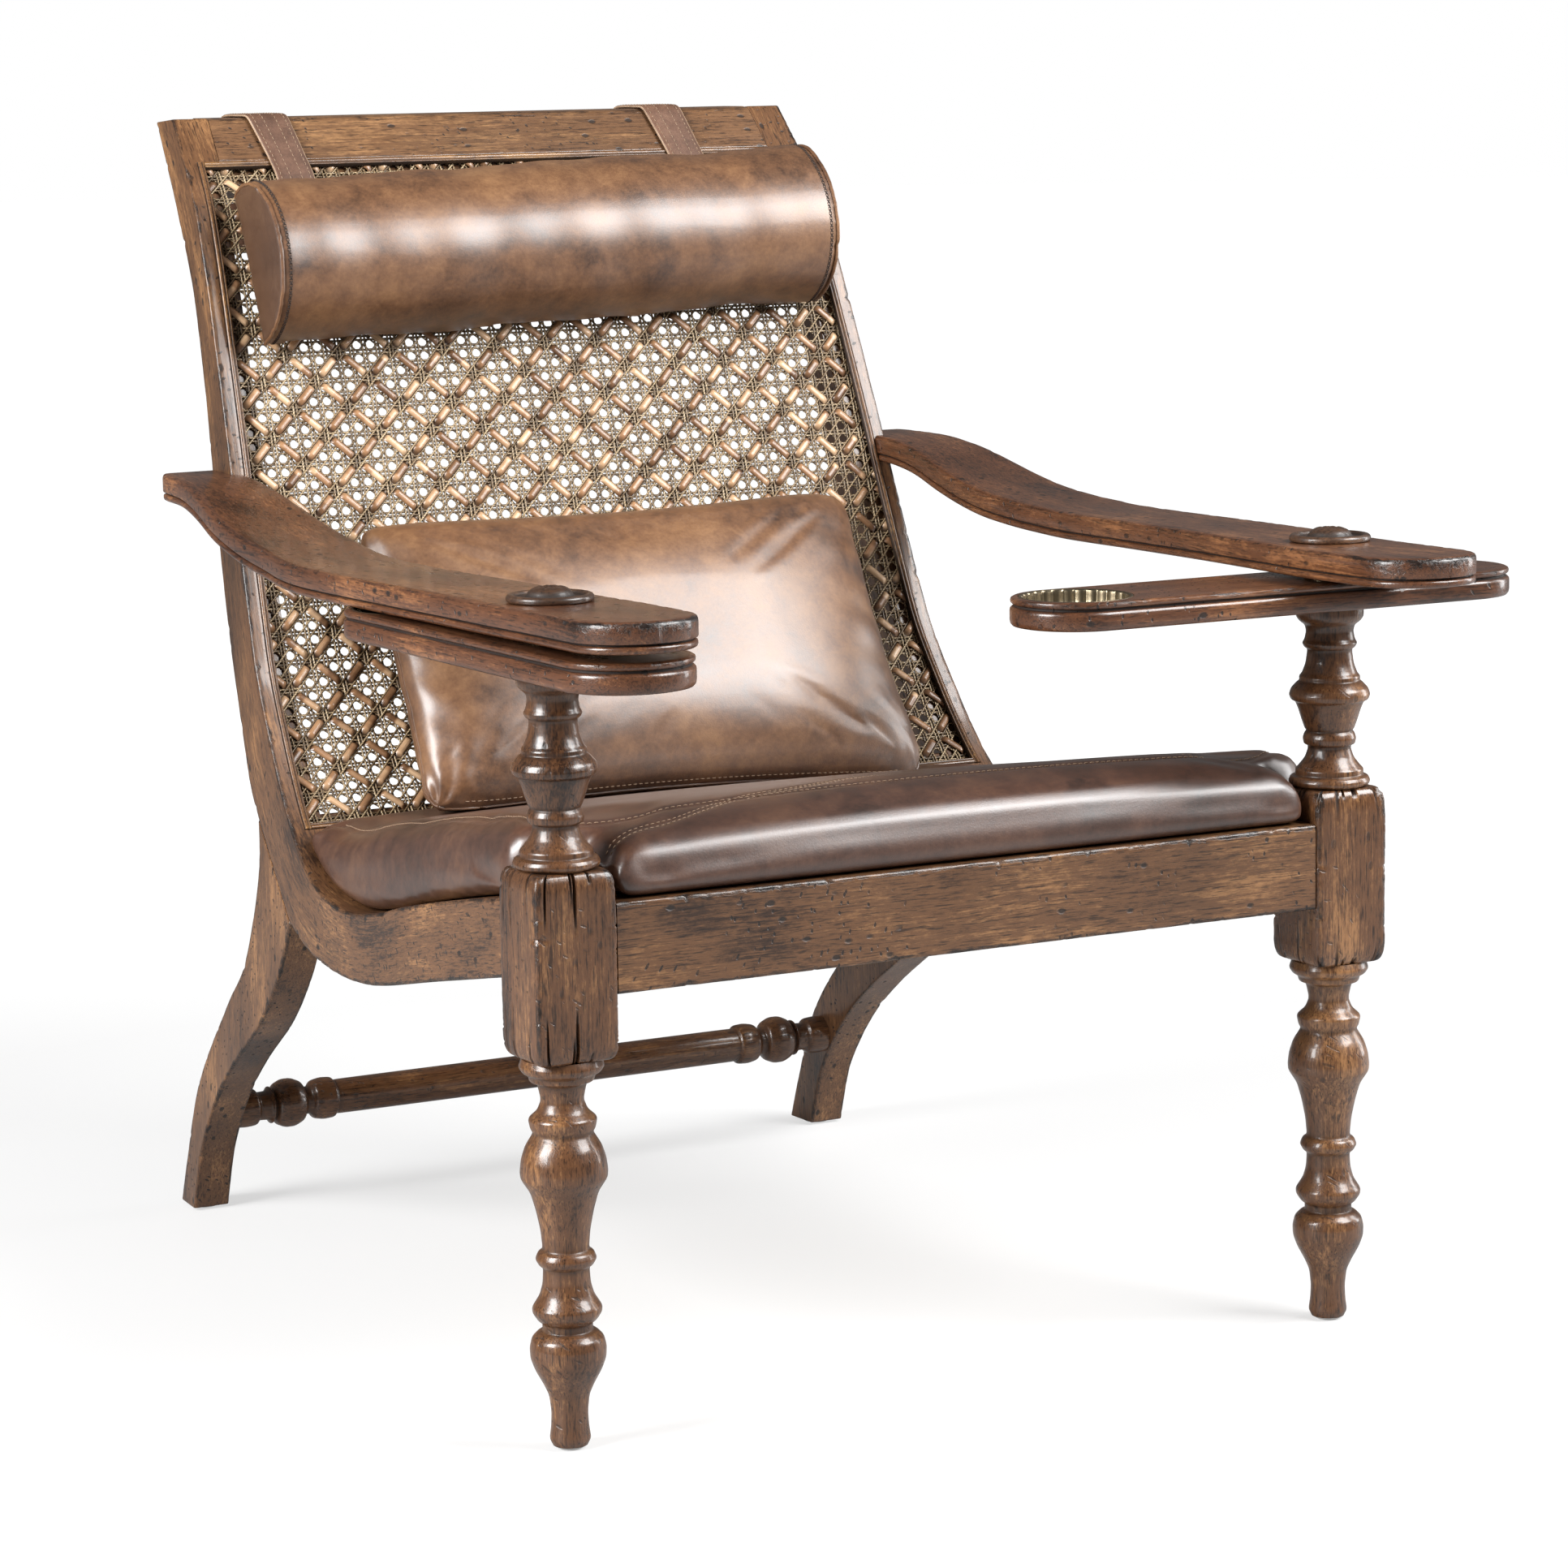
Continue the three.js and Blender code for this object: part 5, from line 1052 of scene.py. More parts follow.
def weave(name, lines, width, thick, lift_at, finish, seed, step, domed=False, stands_for=()):
    """Strands along straight lines of the flat weave: each line is a start and a way to go, its stations are one step
    apart, and its section is a flat lens that rises and dips by lift_at. All strands of one set make one mesh."""
    starts, ends = lines
    long = np.linalg.norm(ends - starts, axis=1)
    counts = np.maximum((long / step).astype(int) + 1, 2)
    owner = np.repeat(np.arange(len(starts)), counts)
    first = np.concatenate([[0], np.cumsum(counts)[:-1]])
    order = np.arange(len(owner)) - np.repeat(first, counts)
    share = order / np.repeat(counts - 1, counts)
    centre = starts[owner] + (ends - starts)[owner] * share[:, None]
    way = ((ends - starts) / long[:, None])[owner]
    beside = np.stack([-way[:, 1], way[:, 0]], -1)
    if domed:
        section = np.array([(-0.5, 0), (-0.42, 0.45), (-0.22, 0.85), (0, 1), (0.22, 0.85), (0.42, 0.45), (0.5, 0),
                            (0, -0.15)])
    else:
        section = np.array([(-0.5, 0), (0, 0.55), (0.5, 0), (0, -0.45)])
    # lift_at also gives dip: how much painted shade a strand takes where it passes under others.
    lift, dip = lift_at(centre)
    rng = np.random.default_rng(seed)
    wander = rng.normal(0, 0.1, len(starts))[owner]
    flat = centre[:, None, :] + beside[:, None, :] * (section[None, :, :1] * width + wander[:, None, None])
    height = lift[:, None] + section[None, :, 1] * thick
    rings = on_panel(flat[..., 0], flat[..., 1], height)
    sides = len(section)
    link = np.nonzero(owner[:-1] == owner[1:])[0][:, None] * sides
    j = np.arange(sides)
    k = (j + 1) % sides
    quads = np.stack([link + j, link + k, link + sides + k, link + sides + j], -1).reshape(-1, 4)
    head = first[:, None] * sides + j
    tail = (first + counts - 1)[:, None] * sides + j[::-1]
    points = rings.reshape(-1, 3)
    faces = quads.tolist() + head[:, ::-1].tolist() + tail[:, ::-1].tolist()
    check = points[quads[0]]
    outward = np.cross(check[1] - check[0], check[3] - check[0]) @ (check.mean(0) - rings[0].mean(0))
    if outward < 0:
        faces = [face[::-1] for face in faces]
    tone = np.repeat(rng.uniform(0, 1, len(starts))[owner], sides)
    if domed:
        part = (order * step / 17.7).astype(int) % 64
        tone = np.repeat(rng.uniform(0, 1, (len(starts), 64))[owner, part], sides)
    along = np.stack([np.repeat(order * step / 1000, sides) + np.repeat(owner * 0.37, sides),
                      np.tile(section[:, 0] * width / 1000, len(owner)), np.zeros(len(points))], -1)
    mesh = mesh_of(name, points, faces, {"along": along, "tone": tone, "dip": np.repeat(dip, sides)})
    mesh.shade_smooth()
    mesh.materials.append(finish)
    told(linked(name, mesh), "chair", stands_for)


def clipped(offsets, way):
    """Lines in one direction from places across, or up if the direction is level, cut to the panel: each is sampled
    finely and kept between its first and last point inside."""
    way = np.array(way) / np.linalg.norm(way)
    starts = xyz(0.0, offsets) if way[1] == 0 else xyz(offsets, 0.0)
    t = np.linspace(-1000, 1000, 4001)
    spots = starts[:, None, :] + way * t[None, :, None]
    inside = (np.abs(spots[..., 1]) < (CANE_RUNS[1] - CANE_RUNS[0]) / 2) & (
        np.abs(spots[..., 0]) < cane_half(spots[..., 1] + CANE_MIDDLE))
    kept = inside.sum(1) > 8
    low = t[np.argmax(inside, 1)]
    high = t[len(t) - 1 - np.argmax(inside[:, ::-1], 1)]
    return (starts + way * low[:, None])[kept], (starts + way * high[:, None])[kept]


def cane():
    """Fine strands in pairs across and upright at whole pitches, single strands on both diagonals between them, and
    wide strips on the diagonals of a diamond four pitches wide, which show between the knots and dip behind them."""
    across = np.arange(-30, 31)
    pair = np.concatenate([across * PITCH - PAIR_HALF, across * PITCH + PAIR_HALF])
    phase = 2 * np.pi / PITCH

    def upright_lift(at):
        return 0.25 + 0.35 * np.cos(phase * at[:, 1]), 0.1 + 0.25 * np.cos(phase * at[:, 1])

    def level_lift(at):
        return -0.1 - 0.3 * np.cos(phase * at[:, 0]), 0.25 + 0.25 * np.cos(phase * at[:, 0])
    step = PITCH / 4
    weave("cane_uprights", clipped(pair, (0, 1)), 2.05, 1.1, upright_lift, FINE_CANE, 191, step,
          stands_for=("cane_panel",))
    weave("cane_levels", clipped(pair, (1, 0)), 2.05, 1.1, level_lift, FINE_CANE, 192, step)
    for name, sign, depth, seed in (("cane_rising", 1, 0.75, 193), ("cane_falling", -1, -0.7, 194)):
        def cross_lift(at, depth=depth):
            return depth + 0.3 * np.cos(phase * at[:, 0]), 0.1 - 0.1 * np.cos(phase * at[:, 0])
        offsets = PITCH / 2 + np.arange(-62, 63) * PITCH
        weave(name, clipped(offsets, (1, sign)), 1.75, 1.0, cross_lift, FINE_CANE, seed, step)
    for name, sign, hidden, seed in (("strips_rising", 1, 0.4, 195), ("strips_falling", -1, 0.31, 196)):
        def strip_lift(at, sign=sign, hidden=hidden):
            other = (at[:, 0] + sign * at[:, 1]) / (4 * PITCH)
            beat = np.abs((other % 1.0) - 0.5) * 2
            share = np.clip((beat - hidden) / 0.13, 0, 1)
            rise = share * share * (3 - 2 * share)
            # The second value is painted shade where the strip dips behind the knots.
            return -2.2 + 3.8 * rise, 1 - rise
        offsets = 2 * PITCH + np.arange(-16, 17) * 4 * PITCH
        weave(name, clipped(offsets, (1, sign)), 7.0, 1.6, strip_lift, WIDE_CANE, seed, 2.2, True)


# Leather pieces

def raw_piece(name, points, faces):
    """A bare closed form, its touching points joined and its faces outwards, before it is filled and dressed."""
    mesh = mesh_of(name, points, outwards(points, faces))
    bare = bmesh.new()
    bare.from_mesh(mesh)
    bmesh.ops.remove_doubles(bare, verts=bare.verts, dist=1e-5)
    bmesh.ops.recalc_face_normals(bare, faces=bare.faces)
    bare.to_mesh(mesh)
    bare.free()
    return linked(name, mesh)


def coordinates(obj):
    """A piece's points in mm, from the chair's own place."""
    found = np.empty(len(obj.data.vertices) * 3, np.float32)
    obj.data.vertices.foreach_get("co", found)
    return found.reshape(-1, 3).astype(float) * 1000 - HOME


def normals_of(obj):
    """A piece's normals at its points."""
    found = np.empty(len(obj.data.vertices) * 3, np.float32)
    obj.data.vertices.foreach_get("normal", found)
    return found.reshape(-1, 3).astype(float)


def put_back(obj, points):
    """Moves a piece's points to new places in mm."""
    obj.data.vertices.foreach_set("co", ((points + HOME) / 1000).astype(np.float32).ravel())
    obj.data.update()


def plump(obj, voxel, pressure, cap, still):
    """Blows a closed form up as cloth for twenty frames, holds the points that still marks, lets no point move further
    than the cap, and smooths the result with one subdivision."""
    remesh = obj.modifiers.new("even", "REMESH")
    remesh.mode = "VOXEL"
    remesh.voxel_size = voxel / 1000
    bake(obj)
    start = coordinates(obj)
    pinned = obj.vertex_groups.new(name="held")
    held = np.nonzero(still(start))[0]
    pinned.add([int(k) for k in held], 1.0, "REPLACE")
    cloth = obj.modifiers.new("fill", "CLOTH")
    cloth.settings.quality = 5
    cloth.settings.mass = 0.4
    cloth.settings.tension_stiffness = cloth.settings.compression_stiffness = 18
    cloth.settings.bending_stiffness = 1.2
    cloth.settings.use_pressure = True
    cloth.settings.uniform_pressure_force = pressure
    cloth.settings.effector_weights.gravity = 0
    cloth.settings.vertex_group_mass = "held"
    scene = bpy.context.scene
    for number in range(1, 21):
        scene.frame_set(number)
    bake(obj)
    scene.frame_set(1)
    moved = coordinates(obj) - start
    far = np.linalg.norm(moved, axis=1, keepdims=True)
    put_back(obj, start + moved * np.minimum(1, cap / np.maximum(far, 1e-6)))
    obj.vertex_groups.clear()
    finer = obj.modifiers.new("finer", "SUBSURF")
    finer.levels = finer.render_levels = 1
    bake(obj)


def press(obj, path, depth, width):
    """Sinks a seam into a form: points near the path move in along their normals by a bell of the distance to it."""
    points, normals = coordinates(obj), normals_of(obj)
    path = even(path, 3.0)
    near = np.nonzero((points > path.min(0) - 3 * width).all(1) & (points < path.max(0) + 3 * width).all(1))[0]
    gap = np.full(len(near), 1e9)
    for spot in path:
        gap = np.minimum(gap, np.linalg.norm(points[near] - spot, axis=1))
    points[near] -= normals[near] * (depth * np.exp(-(gap / width) ** 2))[:, None]
    put_back(obj, points)


def snapped(obj, guesses):
    """The nearest spots of a form to some guesses, and the form's normals there."""
    tree = BVHTree.FromPolygons([v.co for v in obj.data.vertices], [p.vertices for p in obj.data.polygons])
    found = [tree.find_nearest(Vector((guess + HOME) / 1000)) for guess in guesses]
    spots = np.array([hit[0] for hit in found]) * 1000 - HOME
    return spots, np.array([hit[1] for hit in found])


def dress(obj, finish, body, stands_for, shade=None):
    obj.data.materials.clear()
    obj.data.materials.append(finish)
    obj.data.shade_smooth()
    values = np.zeros(len(obj.data.vertices)) if shade is None else shade
    obj.data.attributes.new("shade", "FLOAT", "POINT").data.foreach_set("value", values.astype(np.float32))
    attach(obj, body)
    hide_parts(*stands_for)


def stitches(name, path, normals, finish, body, pitch=6.0, long=4.2, thick=0.9, slant=0.0, lift=0.25):
    """A row of stitches: short spindles at equal steps of a path, laid on its surface and turned by a slant."""
    total = run_length(path)[-1]
    where = np.arange(pitch / 2, total, pitch)
    spot = spaced(path, where)
    slope = slopes(path)
    along = np.stack([np.interp(where, run_length(path), column) for column in slope.T], -1)
    up = np.stack([np.interp(where, run_length(path), column) for column in normals.T], -1)
    up = up / np.linalg.norm(up, axis=1, keepdims=True)
    side = np.cross(up, along)
    side = side / np.maximum(np.linalg.norm(side, axis=1, keepdims=True), 1e-9)
    along = np.cross(side, up)
    way = math.cos(slant) * along + math.sin(slant) * side
    beside = np.cross(up, way)
    station = np.array([-0.5, -0.4, 0.0, 0.4, 0.5]) * long
    girth = np.array([0.25, 0.85, 1.0, 0.85, 0.25]) * thick / 2
    sink = np.array([-0.35, -0.05, 0.12, -0.05, -0.35]) * thick
    turn = np.arange(6) * np.pi / 3
    rings = (spot[:, None, None, :] + way[:, None, None, :] * station[None, :, None, None]
             + beside[:, None, None, :] * (girth[:, None] * np.cos(turn))[None, :, :, None]
             + up[:, None, None, :] * (girth[:, None] * np.sin(turn) + sink[:, None] + lift)[None, :, :, None])
    count = len(spot)
    first = (np.arange(count) * 30)[:, None, None]
    ring = (np.arange(4) * 6)[None, :, None]
    j = np.arange(6)[None, None, :]
    k = (j + 1) % 6
    quads = np.stack(np.broadcast_arrays(first + ring + j, first + ring + k, first + ring + 6 + k,
                                          first + ring + 6 + j), -1)
    faces = quads.reshape(-1, 4).tolist()
    base = (np.arange(count) * 30)[:, None]
    faces += (base + np.arange(6)[::-1]).tolist() + (base + 24 + np.arange(6)).tolist()
    points = rings.reshape(-1, 3)
    make(name, points, faces, finish, body, merge=False)


def piping(name, path, radius, finish, body):
    """A round cord along a path: a circle square to the path at each of its points."""
    slope = slopes(path)
    guide = np.array([1.0, 0, 0]) if abs(slope[:, 0]).mean() < 0.7 else np.array([0, 1.0, 0])
    side = unit(np.cross(slope, guide))
    up = np.cross(side, slope)
    turn = turns(8)[:, None]
    rings = path[:, None, :] + radius * (side[:, None, :] * np.cos(turn) + up[:, None, :] * np.sin(turn))
    points, faces = skin(rings)
    make(name, points, faces, finish, body, traits={"shade": np.zeros(len(points))})


CUSHION_DEPTH = spline(np.array([(-0.04, 0.62), (0.033, 0.69), (0.127, 0.86), (0.29, 0.965), (0.42, 1), (0.526, 0.6),
                                 (0.59, 0.12)]) * (REACH, 72), 400)
CUSHION_SIDE = [(0.5, 0), (0.1, 0.06), (0, 0.3), (0.02, 0.6), (0.28, 0.88), (1, 1)]


def cushion_sections():
    """The cushion's sections from front to back: a flat foot on the seat line, bulging sides, round shoulders and a
    crown, each as high and wide as its place allows."""
    front = 3.1 - BLOCK_HALF + 4
    narrow = LEG_AXIS - BLOCK_HALF - 4
    notch = BLOCK_HALF + 4
    rear = back_at(np.array([CANE_FOOT - GAP]))[0, 0] - 8
    roll = spline([(0, 0.42), (0.03, 0.6), (0.15, 0.77), (0.4, 0.91), (0.8, 0.99)], 12)
    stations = [(front + r * 34, narrow, s) for r, s in roll]
    stations += [(y, narrow, 1.0) for y in np.linspace(front + 31, notch - 2, 6)[1:]]
    for reach in np.linspace(notch + 1, rear - 9, 46):
        wide = face_at(reach, seat_height(max(reach, BLOCK_HALF))) - 8
        ease = min(1.0, math.sqrt(max(reach - notch, 0) / 20))
        stations.append((reach, narrow + (wide - narrow) * (0.35 + 0.65 * ease), 1.0))
    stations += [(rear - 4, face_at(rear, 390) - 14, 0.9), (rear, face_at(rear, 390) - 26, 0.6)]
    return stations


def seat_cushion():
    sections = []
    for reach, half, shrink in cushion_sections():
        foot = (RAIL_TOP if reach < BLOCK_HALF else seat_height(reach)) + 0.9
        depth = np.interp(reach, CUSHION_DEPTH[:, 0], CUSHION_DEPTH[:, 1]) * shrink
        settle = np.interp(reach, [0, 60, 110, 430, 520], [0, 3, 9, 11, 3])
        curl = 22 * (0.5 + shrink / 2)
        side = np.array([(half - 3 + 3 * (1 - abs(2 * rise - 1)) - inset * curl, foot + rise * depth)
                         for inset, rise in CUSHION_SIDE])
        side = eased(side, 1, 0.25)
        share = np.linspace(1, 0, 22)[1:]
        top = np.stack([share * side[-1, 0], side[-1, 1] + shrink * 7 * (1 - share ** 2)], -1)
        half_ring = np.concatenate([side, top])
        ring = np.concatenate([half_ring, half_ring[-2::-1] * (-1, 1)])
        foot_share = np.linspace(-1, 1, 24)[1:-1]
        under = np.stack([foot_share * side[0, 0], np.full(22, foot)], -1)
        ring = np.concatenate([ring, under])
        lean = 1 + 0.65 * ring[:, 0] / half + 0.3 * np.clip(np.abs(ring[:, 0]) / half - 0.6, 0, 1)
        ring[:, 1] -= settle * lean * np.clip((ring[:, 1] - foot) / depth, 0, 1)
        sections.append(np.stack([ring[:, 0], np.full(len(ring), reach), ring[:, 1]], -1))
    points, faces = skin(np.stack(sections))
    cushion = raw_piece("seat_pad", points, faces)

    def still(at):
        return at[:, 2] < np.where(at[:, 1] < BLOCK_HALF, RAIL_TOP, seat_height(at[:, 1])) + 7
    plump(cushion, 6.6, 2.0, 3.0, still)
    tree = BVHTree.FromPolygons([v.co for v in cushion.data.vertices], [p.vertices for p in cushion.data.polygons])

    def dropped(plan):
        rows = []
        for x, y in plan:
            start = Vector(((np.array([x, y, 700.0]) + HOME) / 1000).tolist())
            hit = tree.ray_cast(start, Vector((0, 0, -1)))
            if hit[0] is not None:
                rows.append((*(np.array(hit[0]) * 1000 - HOME), *hit[1]))
        rows = np.array(rows)
        return rows[:, :3], rows[:, 3:]
    reach = np.linspace(66, 500, 90)
    side_line = np.array([face_at(y, seat_height(y)) for y in reach]) - 36
    corner = spline([(-side_line[0], 66), (-296, 44), (-262, 38), (-200, 36)], 20)
    left = np.stack([-side_line[::-1], reach[::-1]], -1)
    middle = np.stack([np.linspace(-199, 199, 120), np.full(120, 36.0)], -1)
    right = np.stack([side_line, reach], -1)
    outline = np.concatenate([left, corner[1:], middle, corner[::-1][1:] * (-1, 1), right])
    scallop = spline([(-300, 2), (-232, 14), (-165, 40), (-110, 52), (-48, 78), (40, 112), (110, 108),
                      (190, 84), (250, 60)], 120)
    for name, plan, offsets in (("border", outline, (0.0,)), ("scallop", scallop, (-3.2, 3.2))):
        spots, ups = dropped(even(plan, 4.0))
        press(cushion, spots, 1.9 if name == "border" else 1.5, 4.2)
        slope = slopes(spots)
        for row, offset in enumerate(offsets):
            beside = np.cross(ups, slope)
            guesses = spots + beside * (offset + (3.0 if name == "border" else 0)) - ups * 1.2
            spot, up = snapped(cushion, guesses)
            stitches(f"pad_{name}_stitches_{row}", spot, up, PALE_THREAD, "chair", 5.2, 3.6, 0.8)
    # The seat pad takes the darker leather copy, a painted shade.
    dress(cushion, SHADED_SEAT_HIDE, "chair", ("seat_cushion",))


def pillow():
    """Two crowned halves that meet in a seam: each bulges by the root of one less the fourth power of its place across
    and up, with sides drawn in between full corners."""
    foot_reach, foot, tilt = 472.1, 404.57, math.radians(32.28)
    u, v = np.meshgrid(np.linspace(-1, 1, 61), np.linspace(-1, 1, 45), indexing="ij")
    u, v = np.sin(u * np.pi / 2) * 0.4 + u * 0.6, np.sin(v * np.pi / 2) * 0.4 + v * 0.6

    def place(across, up, out):
        pinch_up, pinch_out = (np.clip(np.abs(s) * 5 - 4, 0, 1) ** 2 * 0.045 for s in (across, up))
        along = (up * (1 - pinch_up) + 1) * (284 + 7 * across) / 2 - 11 * (1 - across ** 2) * up
        x = across * (1 - pinch_out) * 486 / 2 - 11 * (1 - up ** 2) * across
        return np.stack([x, foot_reach + along * math.sin(tilt) - out * math.cos(tilt),
                         foot - 9 - 5 * x / 243 + along * math.cos(tilt) + out * math.sin(tilt)], -1)
    full = 52 * np.sqrt(np.clip((1 - u ** 4) * (1 - v ** 4), 0, 1))
    front, back = place(u, v, full), place(u, v, -full * 0.98)
    rows, columns = u.shape
    i = np.arange(rows - 1)[:, None] * columns
    j = np.arange(columns - 1)[None, :]
    quads = np.stack([i + j, i + columns + j, i + columns + j + 1, i + j + 1], -1).reshape(-1, 4)
    points = np.concatenate([front.reshape(-1, 3), back.reshape(-1, 3)])
    faces = quads.tolist() + (quads[:, ::-1] + rows * columns).tolist()
    cushion = raw_piece("loose_pillow", points, faces)
    seam_share = np.linspace(-1, 1, 60)
    loop = np.concatenate([place(seam_share, -np.ones(60), 0), place(np.ones(60), seam_share, 0)[1:],
                           place(-seam_share, np.ones(60), 0)[1:], place(-np.ones(60), -seam_share, 0)[1:]])

    def still(at):
        near = np.zeros(len(at), bool)
        for spot in even(loop, 10.0):
            near |= np.linalg.norm(at - spot, axis=1) < 7
        return near
    plump(cushion, 5.0, 2.5, 3.0, still)
    points, normals = coordinates(cushion), normals_of(cushion)
    away = np.full(len(points), 1e9)
    for spot in even(loop, 4.0):
        away = np.minimum(away, np.linalg.norm(points - spot, axis=1))
    for cx, cu in ((-1, -1), (1, -1), (1, 1), (-1, 1)):
        corner = place(np.array(cx), np.array(cu), np.array(0.0))
        middle = place(np.array(0.0), np.array(0.0), np.array(0.0))
        leg = middle - corner
        far = np.linalg.norm(points - corner, axis=1)
        angle = np.arctan2(np.linalg.norm(np.cross(points - corner, leg), axis=1), (points - corner) @ leg)
        ripple = np.cos(angle * 21 + 1.3 * cx + 0.7 * cu) * np.exp(-(far / 62) ** 2) * np.clip(far / 14, 0, 1)
        points += normals * ((1.2 if cx + cu < -1 else 0.3) * ripple)[:, None]
    near_side = np.exp(-((np.abs(points[:, 0]) - 214) / 30) ** 2)
    points += normals * (1.5 * drift(points[:, 2] + 0.4 * points[:, 0], 201, 120, 3) * near_side)[:, None]
    put_back(cushion, points)
    press(cushion, loop, 1.6, 3.5)
    half = len(loop) // 4
    foot_row = loop[:half + 1]
    out = np.array([0, -math.cos(tilt), math.sin(tilt)])
    spots, ups = snapped(cushion, foot_row[3:-3] + out * 9 + np.array([0, 0.3, 4]))
    stitches("pillow_foot_stitches", spots, ups, PALE_THREAD, "pillow", 5.4, 3.6, 0.75)
    spots, ups = snapped(cushion, loop + out * 1.0)
    piping("pillow_seam", spots + ups * 0.2, 1.3, HIDE, "pillow")
    dress(cushion, HIDE, "pillow", ("lumbar_pillow",), np.clip(1 - away / 9, 0, 1) * 0.5)


def bolster_section(across, scale, count=72):
    """The neck roll's D section at a place across: an arc that stands out from the back line, and a flat back on it."""
    middle = CREST - 126
    lift = across * math.tan(math.radians(1.6))
    stand = 1 + GAP + 2.8 + 1
    angle = np.linspace(0, np.pi, count)
    rise = np.concatenate([-np.cos(angle) * 67, np.linspace(67, -67, 30)[1:-1]]) * scale
    depth = np.concatenate([np.sin(angle) ** 0.9 * 84, np.zeros(28)]) * scale
    spot = back_at(middle + lift + rise, -stand - depth)
    return np.stack([np.full(len(spot), float(across)), spot[:, 0], spot[:, 1]], -1)


def bolster():
    """The hung neck roll, its end panels, and on each end a piped edge beside a row of cross stitches."""
    half = 272.0
    scale_at = spline([(-1, 0.92), (-0.985, 0.945), (-0.6, 0.93), (0, 0.94), (0.6, 0.93), (0.985, 0.945),
                       (1, 0.92)], 120)
    rings = [bolster_section(x * half, s) for x, s in scale_at]
    rings = [bolster_section(-half - 2.5, 0.78), bolster_section(-half - 1, 0.89), *rings,
             bolster_section(half + 1, 0.89), bolster_section(half + 2.5, 0.78)]
    points, faces = skin(np.stack(rings))
    roll = raw_piece("neck_roll", points, faces)

    def still(at):
        edge = np.abs(np.abs(at[:, 0]) - half) < 9
        behind = at[:, 1] > back_at(at[:, 2], -9.0)[:, 0]
        return edge | behind
    plump(roll, 5.0, 5.0, 5.0, still)
    points, normals = coordinates(roll), normals_of(roll)
    inner = np.clip((half - np.abs(points[:, 0])) / 40, 0, 1)
    waves = drift(points[:, 0] + 0.12 * points[:, 2], 211, 230, 3) * 2.0
    points += normals * (waves * inner * (np.abs(normals[:, 0]) < 0.7))[:, None]
    put_back(roll, points)
    for hand, side in SIDES:
        loop = bolster_section(side * (half - 1.5), 0.945)[:72]
        spots, ups = snapped(roll, loop)
        press(roll, spots, 1.2, 2.6)
        spots, ups = snapped(roll, bolster_section(side * (half + 0.5), 0.935)[:72])
        piping(f"{hand}_roll_piping", spots + ups * 0.5, 1.6, HIDE, "headrest")
        spots, ups = snapped(roll, bolster_section(side * (half - 6.5), 0.95)[:72])
        for row, slant in (("a", 0.62), ("b", -0.62)):
            stitches(f"{hand}_roll_stitches_{row}", spots, ups, BROWN_THREAD, "headrest",
                     4.4, 5.0, 1.0, slant)
    points = coordinates(roll)
    shade = np.clip((np.abs(points[:, 0]) - half + 2.5) / 2, 0, 1)
    dress(roll, HIDE, "headrest", ("headrest_bolster",), shade)


def strap(hand, side):
    """A flat strap carried along its path from behind the roll, over the crest and down to the weight: a rounded flat
    section square to the path, widening as it rises, with four rows of stitches."""
    stand = 1 + GAP + 1.4
    low = back_at(np.linspace(CANE_TOP - 45, CREST - 4, 24), -stand)
    over = side_points([(0.9446, 1), (0.9524, 1), (0.9945, 1), (1, 0.9969)])
    crest_path = np.array([
        over[0] + (-1.0, 1.6), over[1] + (0, 1.9), over[2] + (0, 1.9), over[3] + (1.2, 1.4)])
    down = np.stack([np.full(16, REACH + GAP + 1.4), np.linspace(CREST - 8, CREST - 76, 16)], -1)
    path = even(eased(np.concatenate([low, crest_path, down]), 2, 0.25), 3.0)
    slope = slopes(path)
    out = np.stack([-slope[:, 1], slope[:, 0]], -1)
    low_reach, high_reach = back_at(np.array([CANE_TOP]))[0, 0], back_at(np.array([CREST - 0.1]))[0, 0]
    wide = np.interp(path[:, 0], [low_reach, high_reach], [34, 37])[:, None]
    sway = np.interp(path[:, 0], [low_reach - 12, high_reach, REACH], [3, -4, -8])[:, None]
    middle = -12.5 + side * (391 / 2 - 2.5 * side) + sway
    share = np.array([-0.5, -0.48, -0.3, -0.1, 0.1, 0.3, 0.48, 0.5, 0.5, 0.48, 0, -0.48, -0.5])
    rise = np.array([0.5, 1, 1, 1, 1, 1, 1, 0.5, -0.5, -1, -1, -1, -0.5]) * 1.4
    x = middle + wide * share
    y = path[:, :1] + out[:, :1] * rise
    z = path[:, 1:] + out[:, 1:] * rise
    points, faces = skin(np.stack([x, y, z], -1))
    make(f"{hand}_strap_band", points, faces, STRAP_HIDE, "headrest", (f"{hand}_headrest_strap",), 50,
         {"shade": np.zeros(len(points))})
    normal = np.stack([np.zeros(len(path)), out[:, 0], out[:, 1]], -1)
    for row, place in enumerate((-0.4, -0.16, 0.16, 0.4)):
        line = np.stack([(middle + wide * place)[:, 0], path[:, 0] + out[:, 0] * 1.4, path[:, 1] + out[:, 1] * 1.4], -1)
        stitches(f"{hand}_strap_stitches_{row}", line[4:-6], normal[4:-6], PALE_THREAD, "headrest",
                 5.0, 3.2, 0.7, 0.0, 0.05)
    for end, place in enumerate((-0.503, 0.503)):
        line = np.stack([(middle + wide * place)[:, 0], path[:, 0], path[:, 1]], -1)
        piping(f"{hand}_strap_edge_{end}", line, 0.9, CUT_EDGE, "headrest")


